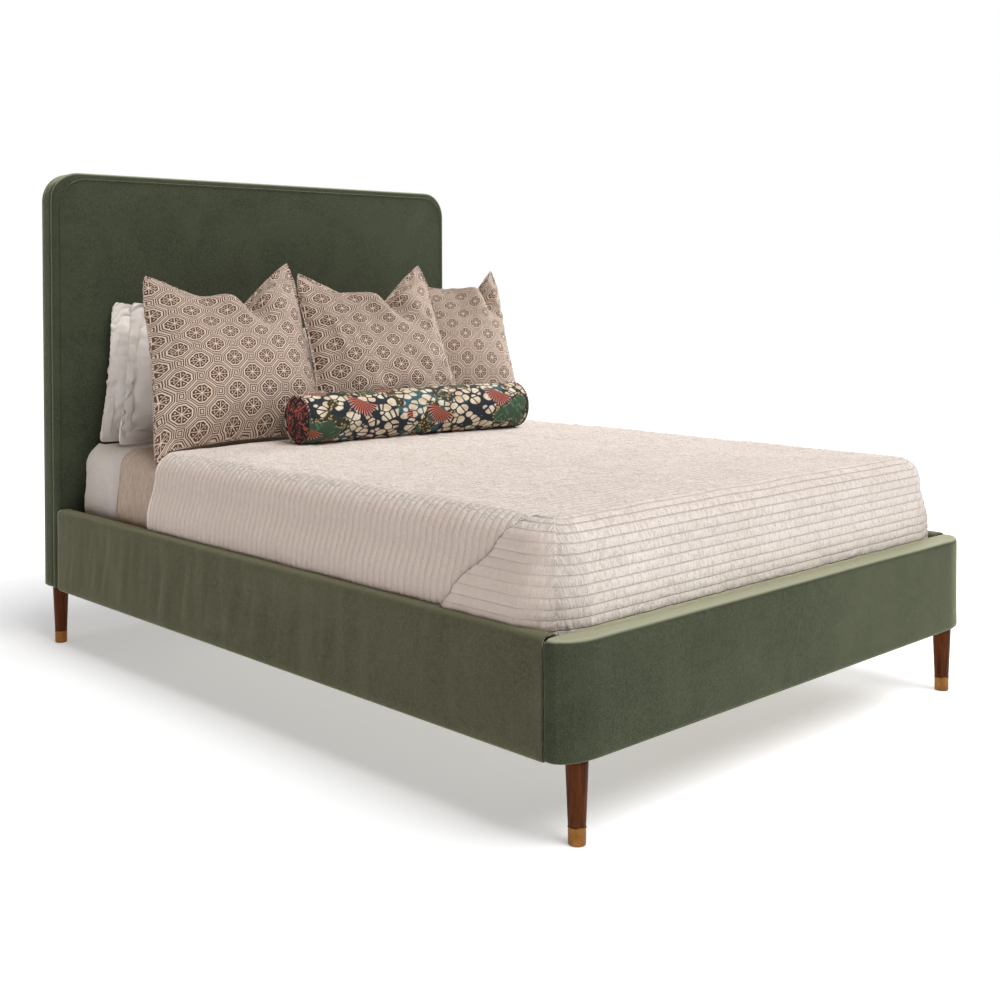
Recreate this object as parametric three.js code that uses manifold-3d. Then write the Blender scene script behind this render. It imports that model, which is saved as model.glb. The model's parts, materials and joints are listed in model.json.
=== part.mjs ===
// Upholstered queen bed: headboard, footboard and bolted side rails in velvet,
// on turned legs, with its slats, centre support, mattress, bedding and pillows.
// Millimetres, +Z up. X runs across the bed, +Y points to the headboard.
// The origin is on the floor, in the middle of the bed's outline.
import * as THREE from 'three';
import { mergeVertices } from 'three/addons/utils/BufferGeometryUtils.js';
import Module from 'manifold-3d';

const wasm = await Module();
wasm.setup();

// Driving dimensions: the mattress sets the width and length of the frame round it
const MATTRESS_WIDTH = 1512;
const MATTRESS_LENGTH = 2032;
const MATTRESS_HEIGHT = 320;
const MATTRESS_SIDE_GAP = 19;
const MATTRESS_FOOT_GAP = 26;
const MATTRESS_HEAD_GAP = 18;
const BED_HEIGHT = 1483;
const FLOOR_CLEARANCE = 176;
const RAIL_HEIGHT = 245;
const TOUCH = 0.3;

// Upholstery
const WRAP = 12;
const EDGE_ROUND = 12;

// Headboard
const HEADBOARD_THICKNESS = 90;
const HEADBOARD_RADIUS = 90;
const FRONT_PAD = 30;
const PANEL_PLY = 12;
const BACK_COVER = 4;
const STILE_WIDTH = 90;
const TOP_RAIL_HEIGHT = 120;

// Footboard and side rails
const FOOTBOARD_THICKNESS = 66;
const FOOT_CORNER_ACROSS = 100;
const FOOT_CORNER_RETURN = Math.max(EDGE_ROUND, WRAP) + 2;
const CORNER_BLOCK_LENGTH = 150;
const SIDE_RAIL_THICKNESS = 50;
const SEAM_GAP = 1.5;

// Slats and centre support
const SLAT_TOP = 305;
const SLAT_COUNT = 10;
const SLAT_WIDTH = 90;
const SLAT_THICKNESS = 20;
const SLAT_END_GAP = 5;
const CLEAT_WIDTH = 30;
const CLEAT_HEIGHT = 40;
const BEAM_WIDTH = 45;
const BEAM_HEIGHT = 70;
const HANGER_STEEL = 3;
const HANGER_DEPTH = 40;
const BRACKET_STEEL = 4;
const BRACKET_LEG = 55;
const BRACKET_HEIGHT = 90;
const CENTRE_LEG_COUNT = 2;
const CENTRE_LEG_RADIUS = 22;
const GLIDE_TRAVEL = 12;
const GLIDE_DISC_RADIUS = 15;
const GLIDE_DISC_HEIGHT = 8;
const GLIDE_STEM_RADIUS = 4;
const GLIDE_STEM_LENGTH = 40;
const GLIDE_PLAY = 0.5;

// Turned legs
const LEG_TOP_RADIUS = 24;
const LEG_BOTTOM_RADIUS = 18.5;
const FERRULE_HEIGHT = 38;
const FERRULE_WALL = 2;
const FRONT_LEG_INSET_X = 72;
const FRONT_LEG_INSET_Y = 38;
const BACK_LEG_INSET_X = 27;
const BACK_LEG_INSET_Y = 58;
const LEG_SIDES = 24;

// Mattress and bedding
const MATTRESS_CORNER = 60;
const MATTRESS_EDGE = 36;
const SHEET_THICKNESS = 2;
const BLANKET_THICKNESS = 4;
const QUILT_THICKNESS = 10;
const SHEET_DROP = 280;
const BLANKET_DROP = 270;
const QUILT_DROP = 290;
const BLANKET_HEAD_SETBACK = 267;
const QUILT_HEAD_SETBACK = 484;

// Pillows: width, height and thickness of the filled cushion
const BED_PILLOW = { width: 735, height: 450, thickness: 105, lean: 6 };
const EURO_PILLOW = { width: 580, height: 600, thickness: 138, lean: 24 };
const PILLOW_SETTLE = 4;
const BOLSTER_RADIUS = 77;
const BOLSTER_LENGTH = 850;

// Where the loose pillows lie, measured back from the headboard's face
const BED_PILLOW_X = 372;
const BACK_ROW_SETBACK = 88;
const FRONT_ROW_SETBACK = 205;
const EURO_PLACES = [
  { name: 'euro_pillow_left', x: -492, setback: 539, yaw: -1 },
  { name: 'euro_pillow_centre', x: 98, setback: 556, yaw: -2 },
  { name: 'euro_pillow_right', x: 508, setback: 472, yaw: -7.5 },
];
const BOLSTER_PLACE = { x: 84, setback: 692, yaw: -5.6 };

// Sizes and places that follow from the driving dimensions
const BED_WIDTH = MATTRESS_WIDTH + 2 * (MATTRESS_SIDE_GAP + SIDE_RAIL_THICKNESS);
const MATTRESS_BAY = MATTRESS_FOOT_GAP + MATTRESS_LENGTH + MATTRESS_HEAD_GAP;
const BED_LENGTH = FOOTBOARD_THICKNESS + MATTRESS_BAY + HEADBOARD_THICKNESS;
const HALF_WIDTH = BED_WIDTH / 2;
const FOOT_FACE_Y = -BED_LENGTH / 2;
const BACK_FACE_Y = BED_LENGTH / 2;
const HEAD_FACE_Y = BACK_FACE_Y - HEADBOARD_THICKNESS;
const FOOT_INNER_Y = FOOT_FACE_Y + FOOTBOARD_THICKNESS;
const SIDE_INNER_X = HALF_WIDTH - SIDE_RAIL_THICKNESS;
const RAIL_TOP = FLOOR_CLEARANCE + RAIL_HEIGHT;
const SLAT_BOTTOM = SLAT_TOP - SLAT_THICKNESS;
const BEAM_TOP = SLAT_BOTTOM - TOUCH;
const BEAM_BOTTOM = BEAM_TOP - BEAM_HEIGHT;
const MATTRESS_BOTTOM = SLAT_TOP + TOUCH;
const MATTRESS_TOP = MATTRESS_BOTTOM + MATTRESS_HEIGHT;
const MATTRESS_HEAD_Y = HEAD_FACE_Y - MATTRESS_HEAD_GAP;
const MATTRESS_FOOT_Y = MATTRESS_HEAD_Y - MATTRESS_LENGTH;
const SHEET_OFFSET = TOUCH;
const BLANKET_OFFSET = SHEET_OFFSET + SHEET_THICKNESS + TOUCH;
const QUILT_OFFSET = BLANKET_OFFSET + BLANKET_THICKNESS + TOUCH;
const BEDDING_TOP = MATTRESS_TOP + QUILT_OFFSET + QUILT_THICKNESS;
const SIDES = [['left', -1], ['right', 1]];
const degrees = THREE.MathUtils.degToRad;

function finish(color, roughness, metalness = 0) {
  return new THREE.MeshStandardMaterial({ color, roughness, metalness });
}

const velvet = finish(0x4f5b40, 0.9);
const hardwood = finish(0xc8a878, 0.7);
const plywood = finish(0xd2b48c, 0.7);
const walnut = finish(0x5f321c, 0.45);
const brass = finish(0xa8743a, 0.35, 1);
const steel = finish(0x44474a, 0.5, 1);
const rubber = finish(0x202020, 0.9);
const lining = finish(0x26282a, 0.95);
const ticking = finish(0xf2f0ea, 0.9);
const whiteCotton = finish(0xf4f2ee, 0.9);
const sandCotton = finish(0xd9c4ae, 0.95);
const quiltCotton = finish(0xece4da, 0.9);
const printedLinen = finish(0xb89f8c, 0.95);
const floralCotton = finish(0x2b3340, 0.85);

const bed = new THREE.Group();

function addMesh(name, geometry, material, position = [0, 0, 0], parent = bed) {
  const mesh = new THREE.Mesh(geometry, material);
  mesh.name = name;
  mesh.position.set(...position);
  parent.add(mesh);
  return mesh;
}

// A box between two corners.
function addBox(name, material, low, high) {
  const size = high.map((value, axis) => value - low[axis]);
  const centre = high.map((value, axis) => (value + low[axis]) / 2);
  return addMesh(name, new THREE.BoxGeometry(...size), material, centre);
}

function toSolid(geometry) {
  const bare = geometry.clone();
  bare.deleteAttribute('normal');
  bare.deleteAttribute('uv');
  const merged = mergeVertices(bare);
  return new wasm.Manifold(new wasm.Mesh({
    numProp: 3,
    vertProperties: new Float32Array(merged.attributes.position.array),
    triVerts: new Uint32Array(merged.index.array),
  }));
}

function toGeometry(solid) {
  const mesh = solid.getMesh();
  const geometry = new THREE.BufferGeometry();
  geometry.setAttribute('position', new THREE.BufferAttribute(mesh.vertProperties, 3));
  geometry.setIndex(new THREE.BufferAttribute(mesh.triVerts, 1));
  geometry.computeVertexNormals();
  return geometry;
}

function subtract(whole, ...cutters) {
  const cut = cutters.reduce((solid, cutter) => solid.subtract(toSolid(cutter)), toSolid(whole));
  return toGeometry(cut);
}

function intersect(first, second) {
  return toGeometry(toSolid(first).intersect(toSolid(second)));
}

function join(first, second) {
  return toGeometry(toSolid(first).add(toSolid(second)));
}

// A prism of the given outline, standing on z = 0, with its rims rounded inwards.
function prism(outline, height, rim = 0, curveSegments = 8) {
  const geometry = new THREE.ExtrudeGeometry(outline, {
    depth: height - 2 * rim,
    curveSegments,
    bevelEnabled: rim > 0,
    bevelThickness: rim,
    bevelSize: rim,
    bevelOffset: -rim,
    bevelSegments: 3,
  });
  return geometry.translate(0, 0, rim);
}

// Turns a prism so that its outline stands upright in XZ and its height runs along +Y.
function upright(geometry, height) {
  return geometry.rotateX(Math.PI / 2).translate(0, height, 0);
}

function boxAt(low, high) {
  const size = high.map((value, axis) => value - low[axis]);
  const centre = high.map((value, axis) => (value + low[axis]) / 2);
  return new THREE.BoxGeometry(...size).translate(...centre);
}

// Outline of the headboard, with round top corners, drawn inwards by inset.
function archOutline(inset, bottom, top = BED_HEIGHT) {
  const half = HALF_WIDTH - inset;
  const radius = HEADBOARD_RADIUS - inset;
  const crest = top - inset;
  const outline = new THREE.Shape();
  outline.moveTo(-half, bottom);
  outline.lineTo(half, bottom);
  outline.absarc(half - radius, crest - radius, radius, 0, Math.PI / 2, false);
  outline.absarc(-half + radius, crest - radius, radius, Math.PI / 2, Math.PI, false);
  return outline;
}

function addHeadboard() {
  const inner = WRAP + TOUCH;
  const plyY = HEAD_FACE_Y + FRONT_PAD + TOUCH;
  const frameY = plyY + PANEL_PLY + TOUCH;
  const backY = BACK_FACE_Y - BACK_COVER;
  const frameDepth = backY - TOUCH - frameY;
  const coreBottom = FLOOR_CLEARANCE;
  const crest = BED_HEIGHT - inner;
  const topRailBottom = crest - TOP_RAIL_HEIGHT;
  const stileInnerX = HALF_WIDTH - inner - STILE_WIDTH;

  const pad = upright(prism(archOutline(0, FLOOR_CLEARANCE), FRONT_PAD, EDGE_ROUND), FRONT_PAD);
  addMesh('headboard_front_pad', pad, velvet, [0, HEAD_FACE_Y, 0]);

  const bandDepth = backY - TOUCH - plyY;
  const bandOuter = upright(prism(archOutline(0, FLOOR_CLEARANCE), bandDepth), bandDepth);
  const bandHollow = upright(prism(archOutline(WRAP, coreBottom - WRAP), 3 * bandDepth), 3 * bandDepth);
  const band = subtract(bandOuter, bandHollow.translate(0, -bandDepth, 0));
  addMesh('headboard_border_band', band, velvet, [0, plyY, 0]);

  const panel = upright(prism(archOutline(inner, coreBottom), PANEL_PLY), PANEL_PLY);
  addMesh('headboard_panel', panel, plywood, [0, plyY, 0]);

  const cover = upright(prism(archOutline(0, FLOOR_CLEARANCE), BACK_COVER), BACK_COVER);
  addMesh('headboard_back_cover', cover, lining, [0, backY, 0]);

  const railOutline = archOutline(inner, topRailBottom);
  addMesh('headboard_top_rail', upright(prism(railOutline, frameDepth), frameDepth), hardwood, [0, frameY, 0]);
  addBox('headboard_lower_rail', hardwood,
    [-stileInnerX + TOUCH, frameY, coreBottom],
    [stileInnerX - TOUCH, frameY + frameDepth, RAIL_TOP]);
  for (const [side, sign] of SIDES) {
    const edges = [sign * stileInnerX, sign * (HALF_WIDTH - inner)].sort((a, b) => a - b);
    addBox(`headboard_stile_${side}`, hardwood,
      [edges[0], frameY, coreBottom],
      [edges[1], frameY + frameDepth, topRailBottom - TOUCH]);
  }
}

// Plan of the footboard, round at its two front corners, drawn inwards by inset.
function footPlan(inset) {
  const half = HALF_WIDTH - inset;
  const front = FOOT_FACE_Y + inset;
  const back = FOOT_INNER_Y - inset;
  const across = FOOT_CORNER_ACROSS - inset;
  const along = FOOTBOARD_THICKNESS - FOOT_CORNER_RETURN - inset;
  const plan = new THREE.Shape();
  plan.moveTo(half, back);
  plan.lineTo(-half, back);
  plan.absellipse(-half + across, front + along, across, along, Math.PI, 1.5 * Math.PI, false, 0);
  plan.absellipse(half - across, front + along, across, along, 1.5 * Math.PI, 2 * Math.PI, false, 0);
  return plan;
}

function addFootboard() {
  const shell = prism(footPlan(0), RAIL_HEIGHT, EDGE_ROUND);
  const hollow = prism(footPlan(WRAP), RAIL_HEIGHT).translate(0, 0, -WRAP);
  addMesh('footboard_cover', subtract(shell, hollow), velvet, [0, 0, FLOOR_CLEARANCE]);

  const coreHeight = RAIL_HEIGHT - WRAP - TOUCH;
  const blockInnerX = HALF_WIDTH - WRAP - CORNER_BLOCK_LENGTH;
  const inset = WRAP + TOUCH;
  addBox('footboard_board', hardwood,
    [-blockInnerX + TOUCH, FOOT_FACE_Y + inset, FLOOR_CLEARANCE],
    [blockInnerX - TOUCH, FOOT_INNER_Y - inset, FLOOR_CLEARANCE + coreHeight]);
  for (const [side, sign] of SIDES) {
    const nearX = sign * blockInnerX;
    const farX = sign * BED_WIDTH;
    const window = boxAt(
      [Math.min(nearX, farX), FOOT_FACE_Y - WRAP, -WRAP],
      [Math.max(nearX, farX), FOOT_INNER_Y + WRAP, RAIL_HEIGHT + WRAP]);
    const block = intersect(prism(footPlan(inset), coreHeight), window);
    addMesh(`footboard_corner_block_${side}`, block, hardwood, [0, 0, FLOOR_CLEARANCE]);
  }
}

// Cross-section of a padded wrap over a plank: an upside-down U with round shoulders.
function wrapSection() {
  const half = SIDE_RAIL_THICKNESS / 2;
  const top = RAIL_HEIGHT;
  const section = new THREE.Shape();
  section.moveTo(-half, 0);
  section.lineTo(-half + WRAP, 0);
  section.lineTo(-half + WRAP, top - WRAP);
  section.lineTo(half - WRAP, top - WRAP);
  section.lineTo(half - WRAP, 0);
  section.lineTo(half, 0);
  section.absarc(half - EDGE_ROUND, top - EDGE_ROUND, EDGE_ROUND, 0, Math.PI / 2, false);
  section.absarc(-half + EDGE_ROUND, top - EDGE_ROUND, EDGE_ROUND, Math.PI / 2, Math.PI, false);
  return section;
}

function addSideRails() {
  const startY = FOOT_INNER_Y + SEAM_GAP;
  const endY = HEAD_FACE_Y - SEAM_GAP;
  const length = endY - startY;
  const boardHalf = SIDE_RAIL_THICKNESS / 2 - WRAP - TOUCH;
  for (const [side, sign] of SIDES) {
    const middleX = sign * (HALF_WIDTH - SIDE_RAIL_THICKNESS / 2);
    const wrap = upright(prism(wrapSection(), length, 0, 4), length);
    addMesh(`side_rail_cover_${side}`, wrap, velvet, [middleX, startY, FLOOR_CLEARANCE]);
    addBox(`side_rail_board_${side}`, hardwood,
      [middleX - boardHalf, startY, FLOOR_CLEARANCE],
      [middleX + boardHalf, endY, RAIL_TOP - WRAP - TOUCH]);

    const cleatX = sign * (SIDE_INNER_X - TOUCH - CLEAT_WIDTH / 2);
    addBox(`slat_cleat_${side}`, hardwood,
      [cleatX - CLEAT_WIDTH / 2, FOOT_INNER_Y + BRACKET_LEG + CLEAT_WIDTH, SLAT_BOTTOM - TOUCH - CLEAT_HEIGHT],
      [cleatX + CLEAT_WIDTH / 2, HEAD_FACE_Y - BRACKET_LEG - CLEAT_WIDTH, SLAT_BOTTOM - TOUCH]);
  }
}

// Steel angle in the inner corner between a side rail and an end board.
function addCornerBracket(side, signX, end, signY) {
  const cornerX = signX * (SIDE_INNER_X - TOUCH);
  const cornerY = signY > 0 ? HEAD_FACE_Y - TOUCH : FOOT_INNER_Y + TOUCH;
  const toward = [-signX, -signY];
  const angle = new THREE.Shape();
  const points = [
    [0, 0], [BRACKET_LEG, 0], [BRACKET_LEG, BRACKET_STEEL],
    [BRACKET_STEEL, BRACKET_STEEL], [BRACKET_STEEL, BRACKET_LEG], [0, BRACKET_LEG],
  ];
  points.forEach(([x, y], index) => {
    const place = [cornerX + toward[0] * x, cornerY + toward[1] * y];
    if (index === 0) angle.moveTo(...place);
    else angle.lineTo(...place);
  });
  const top = SLAT_BOTTOM - CLEAT_WIDTH / 2;
  const name = `corner_bracket_${end}_${side}`;
  addMesh(name, prism(angle, BRACKET_HEIGHT), steel, [0, 0, top - BRACKET_HEIGHT]);
}

function addBrackets() {
  for (const [side, signX] of SIDES) {
    addCornerBracket(side, signX, 'foot', -1);
    addCornerBracket(side, signX, 'head', 1);
  }
}

// Steel stirrup that carries one end of the centre beam.
function addBeamHanger(end, signY) {
  const halfIn = BEAM_WIDTH / 2 + TOUCH;
  const halfOut = halfIn + HANGER_STEEL;
  const lip = BEAM_HEIGHT * 0.7;
  const floor = BEAM_BOTTOM - TOUCH;
  const stirrup = new THREE.Shape();
  stirrup.moveTo(-halfOut, floor - HANGER_STEEL);
  stirrup.lineTo(halfOut, floor - HANGER_STEEL);
  stirrup.lineTo(halfOut, floor + lip);
  stirrup.lineTo(halfIn, floor + lip);
  stirrup.lineTo(halfIn, floor);
  stirrup.lineTo(-halfIn, floor);
  stirrup.lineTo(-halfIn, floor + lip);
  stirrup.lineTo(-halfOut, floor + lip);
  const wallY = signY > 0 ? HEAD_FACE_Y - TOUCH : FOOT_INNER_Y + TOUCH;
  const plateY = wallY - signY * HANGER_STEEL;
  const lipY = wallY - signY * HANGER_DEPTH;
  const cradle = upright(prism(stirrup, HANGER_DEPTH), HANGER_DEPTH).translate(0, Math.min(wallY, lipY), 0);
  const plate = boxAt(
    [-halfOut - HANGER_DEPTH / 2, Math.min(wallY, plateY), floor - HANGER_STEEL],
    [halfOut + HANGER_DEPTH / 2, Math.max(wallY, plateY), floor + lip]);
  addMesh(`beam_hanger_${end}`, join(cradle, plate), steel);
}

function addCentreSupport() {
  const endGap = HANGER_STEEL + 2 * TOUCH;
  const beamFootY = FOOT_INNER_Y + endGap;
  const beamHeadY = HEAD_FACE_Y - endGap;
  addBox('centre_beam', hardwood,
    [-BEAM_WIDTH / 2, beamFootY, BEAM_BOTTOM],
    [BEAM_WIDTH / 2, beamHeadY, BEAM_TOP]);
  addBeamHanger('foot', -1);
  addBeamHanger('head', 1);

  const legBottom = GLIDE_DISC_HEIGHT + GLIDE_TRAVEL;
  const legHeight = BEAM_BOTTOM - TOUCH - legBottom;
  const boreRadius = GLIDE_STEM_RADIUS + GLIDE_PLAY;
  const boreDepth = GLIDE_STEM_LENGTH;
  for (let index = 0; index < CENTRE_LEG_COUNT; index += 1) {
    const share = (index + 1) / (CENTRE_LEG_COUNT + 1);
    const y = beamFootY + share * (beamHeadY - beamFootY);
    const post = new THREE.LatheGeometry([
      new THREE.Vector2(0, boreDepth),
      new THREE.Vector2(boreRadius, boreDepth),
      new THREE.Vector2(boreRadius, 0),
      new THREE.Vector2(CENTRE_LEG_RADIUS, 0),
      new THREE.Vector2(CENTRE_LEG_RADIUS, legHeight),
      new THREE.Vector2(0, legHeight),
    ], LEG_SIDES).rotateX(Math.PI / 2);
    addMesh(`centre_leg_${index + 1}`, post, hardwood, [0, y, legBottom]);

    const glide = new THREE.LatheGeometry([
      new THREE.Vector2(0, 0),
      new THREE.Vector2(GLIDE_DISC_RADIUS, 0),
      new THREE.Vector2(GLIDE_DISC_RADIUS, GLIDE_DISC_HEIGHT),
      new THREE.Vector2(GLIDE_STEM_RADIUS, GLIDE_DISC_HEIGHT),
      new THREE.Vector2(GLIDE_STEM_RADIUS, GLIDE_STEM_LENGTH),
      new THREE.Vector2(0, GLIDE_STEM_LENGTH),
    ], LEG_SIDES).rotateX(Math.PI / 2);
    addMesh(`levelling_glide_${index + 1}`, glide, rubber, [0, y, 0]);
  }
}

function addSlats() {
  const halfLength = SIDE_INNER_X - SLAT_END_GAP;
  const firstY = FOOT_INNER_Y + BRACKET_LEG + SLAT_WIDTH / 2;
  const lastY = HEAD_FACE_Y - BRACKET_LEG - SLAT_WIDTH / 2;
  const pitch = (lastY - firstY) / (SLAT_COUNT - 1);
  for (let index = 0; index < SLAT_COUNT; index += 1) {
    const y = firstY + index * pitch;
    const name = `slat_${String(index + 1).padStart(2, '0')}`;
    addBox(name, plywood,
      [-halfLength, y - SLAT_WIDTH / 2, SLAT_BOTTOM],
      [halfLength, y + SLAT_WIDTH / 2, SLAT_TOP]);
  }
}

// Turned leg that tapers to a spigot, and the brass cup that closes it.
function addLeg(name, x, y) {
  const spigotRadius = LEG_BOTTOM_RADIUS - FERRULE_WALL - TOUCH;
  const cupFloor = FERRULE_WALL;
  const top = FLOOR_CLEARANCE - TOUCH;
  const leg = new THREE.LatheGeometry([
    new THREE.Vector2(0, cupFloor + TOUCH),
    new THREE.Vector2(spigotRadius, cupFloor + TOUCH),
    new THREE.Vector2(spigotRadius, FERRULE_HEIGHT + TOUCH),
    new THREE.Vector2(LEG_BOTTOM_RADIUS, FERRULE_HEIGHT + TOUCH),
    new THREE.Vector2(LEG_TOP_RADIUS, top),
    new THREE.Vector2(0, top),
  ], LEG_SIDES).rotateX(Math.PI / 2);
  addMesh(`leg_${name}`, leg, walnut, [x, y, 0]);

  const cup = new THREE.LatheGeometry([
    new THREE.Vector2(0, 0),
    new THREE.Vector2(LEG_BOTTOM_RADIUS, 0),
    new THREE.Vector2(LEG_BOTTOM_RADIUS, FERRULE_HEIGHT),
    new THREE.Vector2(spigotRadius + TOUCH, FERRULE_HEIGHT),
    new THREE.Vector2(spigotRadius + TOUCH, cupFloor),
    new THREE.Vector2(0, cupFloor),
  ], LEG_SIDES).rotateX(Math.PI / 2);
  addMesh(`ferrule_${name}`, cup, brass, [x, y, 0]);
}

function addLegs() {
  for (const [side, sign] of SIDES) {
    addLeg(`front_${side}`, sign * (HALF_WIDTH - FRONT_LEG_INSET_X), FOOT_FACE_Y + FRONT_LEG_INSET_Y);
    addLeg(`back_${side}`, sign * (HALF_WIDTH - BACK_LEG_INSET_X), BACK_FACE_Y - BACK_LEG_INSET_Y);
  }
}

// The mattress block grown outwards by offset, with its underside at bottom.
function mattressBlock(offset, bottom) {
  const halfX = MATTRESS_WIDTH / 2 + offset;
  const headY = MATTRESS_HEAD_Y + offset;
  const footY = MATTRESS_FOOT_Y - offset;
  const radius = MATTRESS_CORNER + offset;
  const plan = new THREE.Shape();
  plan.absarc(halfX - radius, footY + radius, radius, -Math.PI / 2, 0, false);
  plan.absarc(halfX - radius, headY - radius, radius, 0, Math.PI / 2, false);
  plan.absarc(-halfX + radius, headY - radius, radius, Math.PI / 2, Math.PI, false);
  plan.absarc(-halfX + radius, footY + radius, radius, Math.PI, 1.5 * Math.PI, false);
  const height = MATTRESS_TOP + offset - bottom;
  return prism(plan, height, MATTRESS_EDGE + offset, 4).translate(0, 0, bottom);
}

// One layer of cloth laid over the mattress: a cap that hangs down by drop
// and starts setback from the mattress's head end.
function beddingLayer(offset, thickness, drop, setback) {
  const hem = MATTRESS_TOP - drop;
  const far = BED_LENGTH;
  const deep = MATTRESS_BOTTOM - MATTRESS_HEIGHT;
  const below = boxAt([-far, -far, deep - MATTRESS_HEIGHT], [far, far, hem]);
  const cutters = [mattressBlock(offset, deep), below];
  if (setback > 0) cutters.push(boxAt([-far, MATTRESS_HEAD_Y - setback, deep], [far, far, BED_HEIGHT]));
  return subtract(mattressBlock(offset + thickness, deep), ...cutters);
}

function addBedding() {
  addMesh('mattress', mattressBlock(0, MATTRESS_BOTTOM), ticking);
  addMesh('fitted_sheet', beddingLayer(SHEET_OFFSET, SHEET_THICKNESS, SHEET_DROP, 0), whiteCotton);
  const blanket = beddingLayer(BLANKET_OFFSET, BLANKET_THICKNESS, BLANKET_DROP, BLANKET_HEAD_SETBACK);
  addMesh('blanket', blanket, sandCotton);
  const quilt = beddingLayer(QUILT_OFFSET, QUILT_THICKNESS, QUILT_DROP, QUILT_HEAD_SETBACK);
  addMesh('quilt', quilt, quiltCotton);
}

// A filled cushion: a squarish pillow outline in XZ, fattest in the middle, thin at its seam.
function cushion({ width, height, thickness }) {
  const squareness = 6;
  const geometry = new THREE.SphereGeometry(1, 24, 12).rotateX(Math.PI / 2);
  const position = geometry.attributes.position;
  for (let index = 0; index < position.count; index += 1) {
    const x = position.getX(index);
    const y = position.getY(index);
    const reach = Math.hypot(x, y);
    const spread = (Math.abs(x) ** squareness + Math.abs(y) ** squareness) ** (1 / squareness);
    const stretch = spread > 0 ? reach / spread : 0;
    position.setXY(index, (x * stretch * width) / 2, (y * stretch * height) / 2);
    position.setZ(index, (position.getZ(index) * thickness) / 2);
  }
  return geometry.rotateX(Math.PI / 2);
}

// Stands a cushion on its lower edge, turned by yaw and leaning back.
function addPillow(name, size, material, x, y, yaw) {
  const stand = new THREE.Group();
  stand.position.set(x, y, BEDDING_TOP + PILLOW_SETTLE);
  stand.rotation.set(-degrees(size.lean), 0, degrees(yaw), 'ZYX');
  bed.add(stand);
  addMesh(name, cushion(size), material, [0, 0, size.height / 2], stand);
}

function addPillows() {
  for (const [side, sign] of SIDES) {
    const x = sign * BED_PILLOW_X;
    addPillow(`bed_pillow_back_${side}`, BED_PILLOW, whiteCotton, x, HEAD_FACE_Y - BACK_ROW_SETBACK, 0);
    addPillow(`bed_pillow_front_${side}`, BED_PILLOW, whiteCotton, x, HEAD_FACE_Y - FRONT_ROW_SETBACK, 0);
  }
  for (const { name, x, setback, yaw } of EURO_PLACES) {
    addPillow(name, EURO_PILLOW, printedLinen, x, HEAD_FACE_Y - setback, yaw);
  }
}

function addBolster() {
  const { x, setback, yaw } = BOLSTER_PLACE;
  const roll = new THREE.CylinderGeometry(BOLSTER_RADIUS, BOLSTER_RADIUS, BOLSTER_LENGTH, LEG_SIDES);
  const z = BEDDING_TOP + TOUCH + BOLSTER_RADIUS;
  const mesh = addMesh('bolster', roll.rotateZ(Math.PI / 2), floralCotton, [x, HEAD_FACE_Y - setback, z]);
  mesh.rotation.z = degrees(yaw);
}

addHeadboard();
addFootboard();
addSideRails();
addBrackets();
addCentreSupport();
addSlats();
addLegs();
addBedding();
addPillows();
addBolster();

export default bed;
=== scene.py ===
import json
import math

import bpy
import numpy as np
from mathutils import Matrix, Vector


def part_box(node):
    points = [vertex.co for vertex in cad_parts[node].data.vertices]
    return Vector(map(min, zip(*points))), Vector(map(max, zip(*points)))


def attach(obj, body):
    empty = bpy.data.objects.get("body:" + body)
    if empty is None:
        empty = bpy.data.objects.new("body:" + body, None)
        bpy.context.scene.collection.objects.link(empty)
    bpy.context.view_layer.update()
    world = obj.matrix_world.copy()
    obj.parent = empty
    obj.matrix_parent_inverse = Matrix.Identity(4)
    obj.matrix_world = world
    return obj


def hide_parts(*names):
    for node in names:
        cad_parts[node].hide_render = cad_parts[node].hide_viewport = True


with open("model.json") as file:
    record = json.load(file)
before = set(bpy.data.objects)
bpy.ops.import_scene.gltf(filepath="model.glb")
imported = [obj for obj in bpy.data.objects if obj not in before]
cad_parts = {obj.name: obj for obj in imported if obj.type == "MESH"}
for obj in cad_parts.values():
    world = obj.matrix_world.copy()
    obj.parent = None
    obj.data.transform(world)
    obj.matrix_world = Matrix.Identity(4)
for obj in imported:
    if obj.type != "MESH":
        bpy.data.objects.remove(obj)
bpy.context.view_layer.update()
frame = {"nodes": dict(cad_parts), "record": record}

# ---------------------------------------------------------------- places from the frame
LOW = {name: np.array(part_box(name)[0]) for name in frame["nodes"]}
HIGH = {name: np.array(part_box(name)[1]) for name in frame["nodes"]}
MATTRESS_LOW, MATTRESS_HIGH = LOW["mattress"], HIGH["mattress"]
RAIL_TOP = HIGH["side_rail_cover_left"][2]
RAIL_BOTTOM = LOW["side_rail_cover_left"][2]
FOOT_FACE = LOW["footboard_cover"][1]
FOOT_INNER = HIGH["footboard_cover"][1]
HEAD_FACE = LOW["headboard_front_pad"][1]
HALF_WIDTH = HIGH["headboard_front_pad"][0]
BED_HEIGHT = HIGH["headboard_front_pad"][2]
BED_TOP = HIGH["quilt"][2]
TINY = 1e-12        # keeps a division by a length from failing

# ---------------------------------------------------------------- numbers and noise


def smooth(low, high, value):
    """0 below low, 1 above high, and an S-curve between."""
    share = np.clip((value - low) / (high - low), 0, 1)
    return share * share * (3 - 2 * share)


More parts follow.
